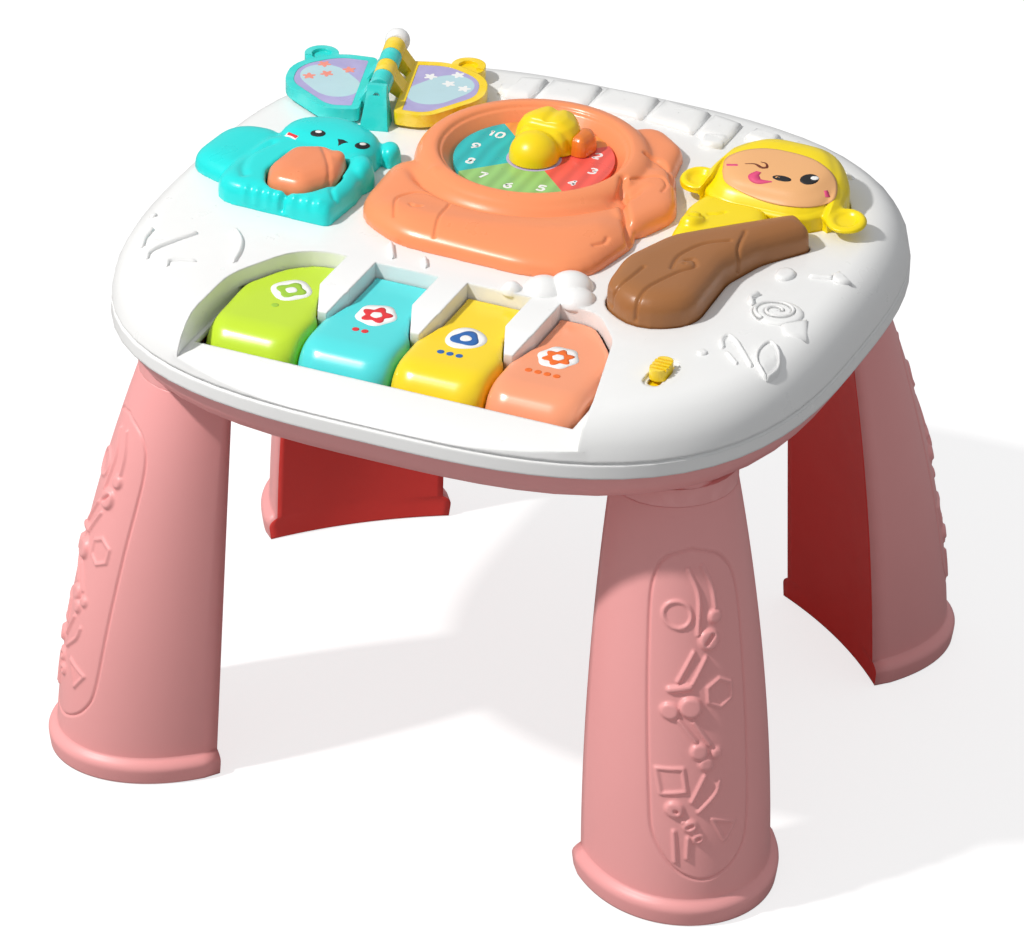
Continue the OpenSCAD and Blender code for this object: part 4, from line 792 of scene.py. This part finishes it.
def dial_print():
    """Colours of the printed face, by the angle and distance from its middle."""
    material, tree, shader = new_finish("dial_print")
    place = tree_part(tree, "ShaderNodeTexCoord").outputs["Object"]
    centred = tree_part(tree, "ShaderNodeVectorMath", {0: place, 1: (dial[0] * MM, dial[1] * MM, 0)},
                        operation="SUBTRACT").outputs[0]
    parts = tree_part(tree, "ShaderNodeSeparateXYZ", {0: centred}).outputs
    angle = reckoned(tree, "ARCTAN2", parts["X"], parts["Y"])
    sectors = tree_part(tree, "ShaderNodeValToRGB", {"Fac": mapped(tree, angle, (-math.pi, math.pi))})
    sectors.color_ramp.interpolation = "CONSTANT"
    stops = sectors.color_ramp.elements
    green, teal = (0.29, 0.56, 0.17, 1), (0.015, 0.47, 0.48, 1)
    stops[0].color = green
    stops[1].position = 0.125
    stops[1].color = teal
    for at, colour in ((0.375, (0.9, 0.32, 0.06, 1)), (0.625, (0.86, 0.11, 0.085, 1)), (0.875, green)):
        stops.new(at).color = colour
    bands = tree_part(tree, "ShaderNodeTexWave", {"Vector": place, "Scale": 42.0, "Distortion": 1.6, "Detail": 1.0},
                      bands_direction="X")
    banded = tree_part(tree, "ShaderNodeHueSaturation", {
        "Value": mapped(tree, bands.outputs["Fac"], onto=(0.9, 1.12)), "Color": sectors.outputs["Color"]})
    flat = tree_part(tree, "ShaderNodeVectorMath", {0: centred, 1: (1, 1, 0)}, operation="MULTIPLY")
    far = tree_part(tree, "ShaderNodeVectorMath", {0: flat.outputs[0]}, operation="LENGTH")
    hub_radius = 13.2 * MM
    lilac = tree_part(tree, "ShaderNodeMix", {
        0: reckoned(tree, "LESS_THAN", far.outputs["Value"], hub_radius), 6: banded.outputs["Color"],
        7: (0.5, 0.45, 0.72, 1)}, data_type="RGBA")
    smear = noise(tree, place, 70.0, 5.0)
    dents = tree_part(tree, "ShaderNodeBump", {"Strength": 0.08, "Distance": 0.0001, "Height": smear})
    feed(shader, {"Base Color": lilac.outputs[2], "Normal": dents.outputs["Normal"],
                  "Roughness": mapped(tree, smear, onto=(0.2, 0.42))})
    return material


dress(dial_print(), "clock_face")
face_z = 260.0
# the strokes of each numeral, in a box 4 wide and 6 high
numeral = {
    "0": [[(1, 0), (0, 1.5), (0, 4.5), (1, 6), (3, 6), (4, 4.5), (4, 1.5), (3, 0), (1, 0)]],
    "1": [[(0.8, 4.8), (2, 6), (2, 0)]],
    "2": [[(0, 4.8), (1, 6), (3, 6), (4, 4.6), (3.6, 3.2), (0, 0), (4, 0)]],
    "3": [[(0, 5.4), (1.4, 6), (3.2, 5.8), (3.8, 4.5), (2.8, 3.3), (1.6, 3.2)],
          [(2.8, 3.3), (4, 2), (3.4, 0.5), (1.6, 0), (0, 0.6)]],
    "4": [[(3, 0), (3, 6), (0, 2), (4.2, 2)]],
    "5": [[(4, 6), (0.6, 6), (0.4, 3.4), (2.6, 3.7), (4, 2.4), (3.4, 0.5), (1.6, 0), (0, 0.6)]],
    "6": [[(3.4, 6), (1, 4), (0, 2), (0.8, 0.3), (2.4, 0), (3.8, 1), (3.6, 2.8), (2, 3.5), (0.4, 2.6)]],
    "7": [[(0, 6), (4, 6), (1.6, 0)]],
    "8": [[(2, 3.2), (0.6, 4.2), (0.8, 5.6), (2, 6), (3.2, 5.6), (3.4, 4.2), (2, 3.2), (0.3, 2), (0.6, 0.4), (2, 0),
           (3.4, 0.4), (3.7, 2), (2, 3.2)]],
    "9": [[(0.6, 0), (3, 2), (4, 4), (3.2, 5.7), (1.6, 6), (0.2, 5), (0.4, 3.2), (2, 2.5), (3.6, 3.4)]]}
numbers = Cast()
hour_ring, digit_scale, digit_step, half_stroke = 30.3, 0.86, 4.2, 0.62
for hour in range(1, 13):
    turn = math.radians(90 - hour * 30)
    middle = dial + hour_ring * np.array([math.cos(turn), math.sin(turn)])
    digits = str(hour)
    for place, digit in enumerate(digits):
        shift = (place - (len(digits) - 1) / 2) * digit_step
        for stroke in numeral[digit]:
            line = stations(middle + (np.array(stroke) - (2, 3)) * digit_scale + (shift, 0), 0.6)
            edge = sideways(line) * half_stroke
            sides = ((line + edge, -0.2), (line + edge, 0.1), (line - edge, 0.1), (line - edge, -0.2))
            rows = [np.column_stack([side, np.full(len(side), face_z + rise)]) for side, rise in sides]
            numbers.add([list(r) for r in zip(*rows)][::-1], True)
piece("dial_numbers", numbers.points, numbers.faces, ink_white, "table", smooth=False)


def above(z):
    """Keeps a skin as it is up to a height, and lets it go over the next 2.5 mm."""
    return lambda at: (at[:, 2] - z) / 2.5


pointer_yellow = plastic("pointer_yellow", (0.93, 0.68, 0.003), satin=0.32, tone=0.08, bump=0.1, rub=0.2)
knob = puffed("pointer_moulding", ["pointer_knob"], 0.45, 16, above(face_z + 0.6), pointer_yellow, "pointer")


def knob_work(at, normal):
    push = deepest(at, ([dial + (-14, 10), dial + (-4, 9.5), dial + (5, 9.5), dial + (14, 10)], 2.4, 1.6),
                   ([dial + (1, 13), dial + (1, 22), dial + (0, 34)], 2.6, 1.2))
    return push * upper(normal, face_z + 1, at)


work(knob, knob_work)
beak_amber = plastic("beak_amber", (0.80, 0.20, 0.02), satin=0.22, tone=0.2, bump=0.05, patch=70, coat=0.4)
puffed("beak_moulding", ["pointer_beak"], 0.35, 8, above(face_z + 0.6), beak_amber, "pointer")

# ---- Squirrel: teal body round the acorn button ----
# A puffed teal moulding screwed to the top: a big tail, two feet with toes, a round arm over
# the acorn. The acorn is a push button on a plunger. Eyes, nose and cheek are printed.
squirrel_teal = plastic("squirrel_teal", (0.012, 0.72, 0.70), satin=0.3, tone=0.06, bump=0.08, rub=0.1)
near_top = above(top_level + 0.8)
squirrel = puffed("squirrel_moulding", ["squirrel_body"], 0.6, 22, near_top, squirrel_teal, "table")


def squirrel_work(at, normal):
    push = deepest(at, ([(-129, 8), (-134, -6), (-131, -20), (-127, -27)], 2.2, 1.2),
                   ([(-103.5, -42), (-102, -36), (-101, -30)], 1.6, 1.8),
                   ([(-85, -10), (-84, -22), (-80, -28)], 1.4, 1.0))
    for toe in (-122, -116, -110, -104.5, -97, -90, -84):
        push += lobe(at, (toe, -36), 1.9, 1.0)
    return push * upper(normal, top_level + 1.5, at)


work(squirrel, squirrel_work)
acorn_orange = plastic("acorn_orange", (0.84, 0.27, 0.12), satin=0.3, tone=0.07, bump=0.1, rub=0.2)
acorn = puffed("acorn_moulding", ["acorn_button"], 0.5, 22, above(top_level - 1), acorn_orange, "acorn")
work(acorn, lambda at, normal: upper(normal, top_level + 9, at) * (
    crease(at, [(-101, 4), (-94, -6), (-88, -16), (-86, -24)], 1.2, 0.9) + lobe(at, (-86, -6), 8, 0.9)))


def egg(centre, a, b, turn=0.0):
    """An oval outline of those half widths, turned by some degrees."""
    t = np.radians(np.arange(36) * 360 / 36)
    c, s = math.cos(math.radians(turn)), math.sin(math.radians(turn))
    x, y = a * np.cos(t), b * np.sin(t)
    return np.stack([centre[0] + x * c - y * s, centre[1] + x * s + y * c], 1)


squirrel_skin = skin_of(squirrel)
for side, (x, y) in (("left", (-107.4, 12.6)), ("right", (-83.2, 10.1))):
    eye, glint = egg((x, y), 3.6, 3.4, 20), egg((x - 0.4, y + 1.6), 1.6, 1.3, 10)
    print_on(squirrel_skin, f"squirrel_eye_{side}", eye, ink_black, "table", 0.14, level=272)
    print_on(squirrel_skin, f"squirrel_glint_{side}", glint, ink_white, "table", 0.22, 3, 272)
nose = [(-95.8, 9.6), (-92.8, 10.0), (-89.8, 8.6), (-91.6, 6.6), (-92.6, 3.4), (-94.0, 6.8)]
print_on(squirrel_skin, "squirrel_nose", nose, ink_black, "table", 0.14, level=273)
cheek_edge = [(-122.4, 11.4), (-116.0, 9.8), (-116.0, 5.6), (-122.2, 6.8)]
print_on(squirrel_skin, "squirrel_cheek_edge", cheek_edge, ink_white, "table", 0.12, level=270)
cheek = [(-121.8, 11.2), (-116.3, 9.6), (-116.3, 6.8), (-121.7, 8.2)]
print_on(squirrel_skin, "squirrel_cheek", cheek, ink_red, "table", 0.2, level=270)

# ---- Monkey: yellow head button with a tan face, and a yellow body ----
# The head is a hollow push button with two ears and a tan face plate glued into its top. The
# body beside it is fixed to the table. Eye, wink, nose, mouth and cheeks are printed.
monkey_yellow = plastic("monkey_yellow", (0.94, 0.72, 0.002), satin=0.3, tone=0.06, bump=0.08, rub=0.1)
monkey = puffed("monkey_moulding", ["monkey_head", "monkey_face"], 0.6, 26, near_top, monkey_yellow, "monkey")


def shape_head(x, y, z):
    """Lowers the head towards its chin, and draws in its two ears and moves them forward."""
    lean = 7.5 * np.clip((92 - y) / 42, 0, 1) ** 1.3 * np.clip((z - 258) / 10, 0, 1)
    move = [0 * x, 0 * x, -lean]
    for ear_x, ear_y, to_x, to_y in ((142, 63, 1, -4.5), (65, 75, 1, -9)):
        near = np.clip((15.5 - np.hypot(x - ear_x, y - ear_y)) / 5, 0, 1) * np.clip(abs(x - 103) - 28, 0, 1)
        move[0] = move[0] + near * (to_x - 0.14 * (x - ear_x))
        move[1] = move[1] + near * (to_y - 0.14 * (y - ear_y))
    return move


shifted(monkey, shape_head)
body_moulding = puffed("monkey_body_moulding", ["monkey_body"], 0.5, 20, near_top, monkey_yellow, "table")
work(body_moulding, lambda at, normal: upper(normal, top_level + 2, at) * (
    crease(at, [(79, 22), (83, 24), (84, 28)], 0.9, 0.9) + crease(at, [(84, 33), (88, 35), (90, 38)], 0.9, 0.8)))
face_tan = plastic("face_tan", (0.83, 0.44, 0.19), satin=0.36, tone=0.06, bump=0.1, rub=0.0)
head_skin = skin_of(monkey)
face_edge = bent([(80.1, 59.1), (76.8, 72), (81.5, 83), (91, 89.5), (104, 90.5), (116.5, 87.5), (128.1, 78.1),
                  (134.9, 66), (137.4, 53), (130.6, 43.5), (118.4, 39.4), (106, 40.2), (93.8, 44.5), (85.1, 50),
                  (80.1, 59.1)], 5)[:-1][::-1]
face_plate = print_on(head_skin, "face_moulding", face_edge, face_tan, "monkey", 0.5, 26, 272)
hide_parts("monkey_face")
plate_skin = skin_of(face_plate)
print_on(plate_skin, "monkey_eye", egg((121.7, 63.9), 4.2, 5.4), ink_black, "monkey", 0.14, level=275)
print_on(plate_skin, "monkey_glint", egg((123.6, 66.0), 1.9, 2.0, -20), ink_white, "monkey", 0.22, 3, 275)
print_on(plate_skin, "monkey_nose", egg((109.8, 59.2), 4.6, 2.6), ink_black, "monkey", 0.14, level=275)


def stroke_on(tree, name, line, widths, material, body, level):
    """A printed stroke whose half width runs from the first to the last of widths."""
    line = stations(bent(line), 0.5)
    half = np.interp(np.linspace(0, 1, len(line)), np.linspace(0, 1, len(widths)), widths)[:, None]
    reach, lift = sideways(line) * half, 0.12
    cols = [dropped(tree, line + reach * s, up, level)
            for s, up in ((1, lift - 0.5), (1, lift), (0, lift), (-1, lift), (-1, lift - 0.5))]
    n, m = len(line), len(cols)
    faces = [(j * n + i, j * n + i + 1, (j + 1) % m * n + i + 1, (j + 1) % m * n + i)
             for j in range(m) for i in range(n - 1)]
    piece(name, np.vstack(cols), faces, material, body)


ink_brown, mouth_pink = ink("ink_brown", (0.16, 0.03, 0.01)), ink("mouth_pink", (0.72, 0.07, 0.2))
for name, line, widths, colour, level in (
        ("monkey_wink", [(88.6, 65.6), (93.0, 67.4), (97.0, 65.4), (99.2, 66.6), (97.6, 70.0), (94.6, 70.6)],
         (0.15, 0.4, 0.8, 0.8, 0.5, 0.2), ink_brown, 275),
        ("monkey_smile", [(97.6, 61.0), (97.0, 56.0), (100.6, 51.8), (106.8, 54.2)], (1.2, 2.8, 2.6, 0.4),
         mouth_pink, 275),
        ("monkey_cheek_left", [(80.6, 62.6), (85.4, 64.8)], (0.9, 0.9), mouth_pink, 274),
        ("monkey_cheek_right", [(131.4, 60.4), (134.6, 54.6)], (0.9, 1.1), mouth_pink, 273)):
    stroke_on(plate_skin, name, line, widths, colour, "monkey", level)

# ---- Log: brown push button ----
# A hollow brown moulding with bark lines and a knot pressed into it, cut off at its thick end.
log_brown = plastic("log_brown", (0.36, 0.145, 0.045), satin=0.36, tone=0.1, bump=0.12, rub=0.3)
log = puffed("log_moulding", ["log_button"], 0.6, 20, near_top, log_brown, "log")


def log_work(at, normal):
    bark = ([(68, -53), (73.7, -57), (78, -49), (80, -36)],
            [(88, -69), (88, -62), (90, -50), (96, -34), (101, -26), (98, -20), (95, -22)],
            [(92, -32), (90.5, -24), (91, -16), (96, -4), (106, 5)],
            [(109, 16), (111, 3), (115, -5), (116.5, -10)])
    push = deepest(at, *((line, 0.85, 1.2) for line in bark))
    push += lobe(at, (96, -26), 2.2, 0.9) - lobe(at, (96, -26), 1.0, 1.0)
    return push * upper(normal, top_level + 1.5, at)


work(log, log_work)

# ---- Book: two pages on a knuckled spine ----
# Each page is a glossy frame with a printed card in it, and turns on a steel pin between a teal
# front post and a white rear post with a ball.
dress(plastic("page_teal_gloss", (0.03, 0.68, 0.64), satin=0.28, tone=0.06, bump=0.06, edge=0.6),
      "page_teal", "spine_front", angle=30)
page_yellow_gloss = plastic("page_yellow_gloss", (0.94, 0.66, 0.004), satin=0.28, tone=0.06, bump=0.06, edge=0.6)
dress(page_yellow_gloss, "page_yellow", angle=30)
dress(top_white, "spine_rear")
dress(plastic("card_lilac", (0.42, 0.38, 0.66), satin=0.3, tone=0.2, patch=40, bump=0.05), "card_right", "card_left")
book_at, book_turn, card_z = np.array([-110.0, 97.0]), math.radians(15), 261.0


def on_page(points, side):
    """Places given across and along the spine, on the right page (1) or the left one (-1)."""
    p = np.asarray(points, float) * [side, 1]
    c, s = math.cos(book_turn), math.sin(book_turn)
    out = np.column_stack([book_at[0] + p[:, 0] * c - p[:, 1] * s, book_at[1] + p[:, 0] * s + p[:, 1] * c])
    return out if side > 0 else out[::-1]


def print_flat(name, outline, material, body, rise):
    """A flat print on the cards of the book, with an edge that dips into the card."""
    outline = np.asarray(outline, float)
    n = len(outline)
    middle = outline.mean(0)
    rows = [np.column_stack([ring, np.full(n, card_z + up)])
            for ring, up in ((outline, -0.2), (outline, rise), (middle + (outline - middle) * 0.01, rise))]
    piece(name, np.vstack(rows), hoop_faces(3, n), material, body, smooth=False)


sky_blue, coral = ink("sky_blue", (0.48, 0.68, 0.74)), ink("coral", (0.86, 0.3, 0.24))
for page_name, side, motif in (("right_page", 1, ink_white), ("left_page", -1, coral)):
    print_flat(page_name + "_pond", on_page(petals((27, -5), 15, 2, 0.22, 50), side), sky_blue, page_name, 0.04)
    for k, spot in enumerate(((20, 8), (33, 12), (38, -2), (30, 2))):
        flower = on_page(petals(spot, 2.6, 5, 0.3, 40 * k), side)
        print_flat(f"{page_name}_flower_{k}", flower, motif, page_name, 0.09)

# ---- Switch: yellow slider ----
# A small slider clipped into the switch's case under the top and moved in its recess. It is
# moulded in the same yellow as the right page.
dress(page_yellow_gloss, "switch_nub", angle=30)
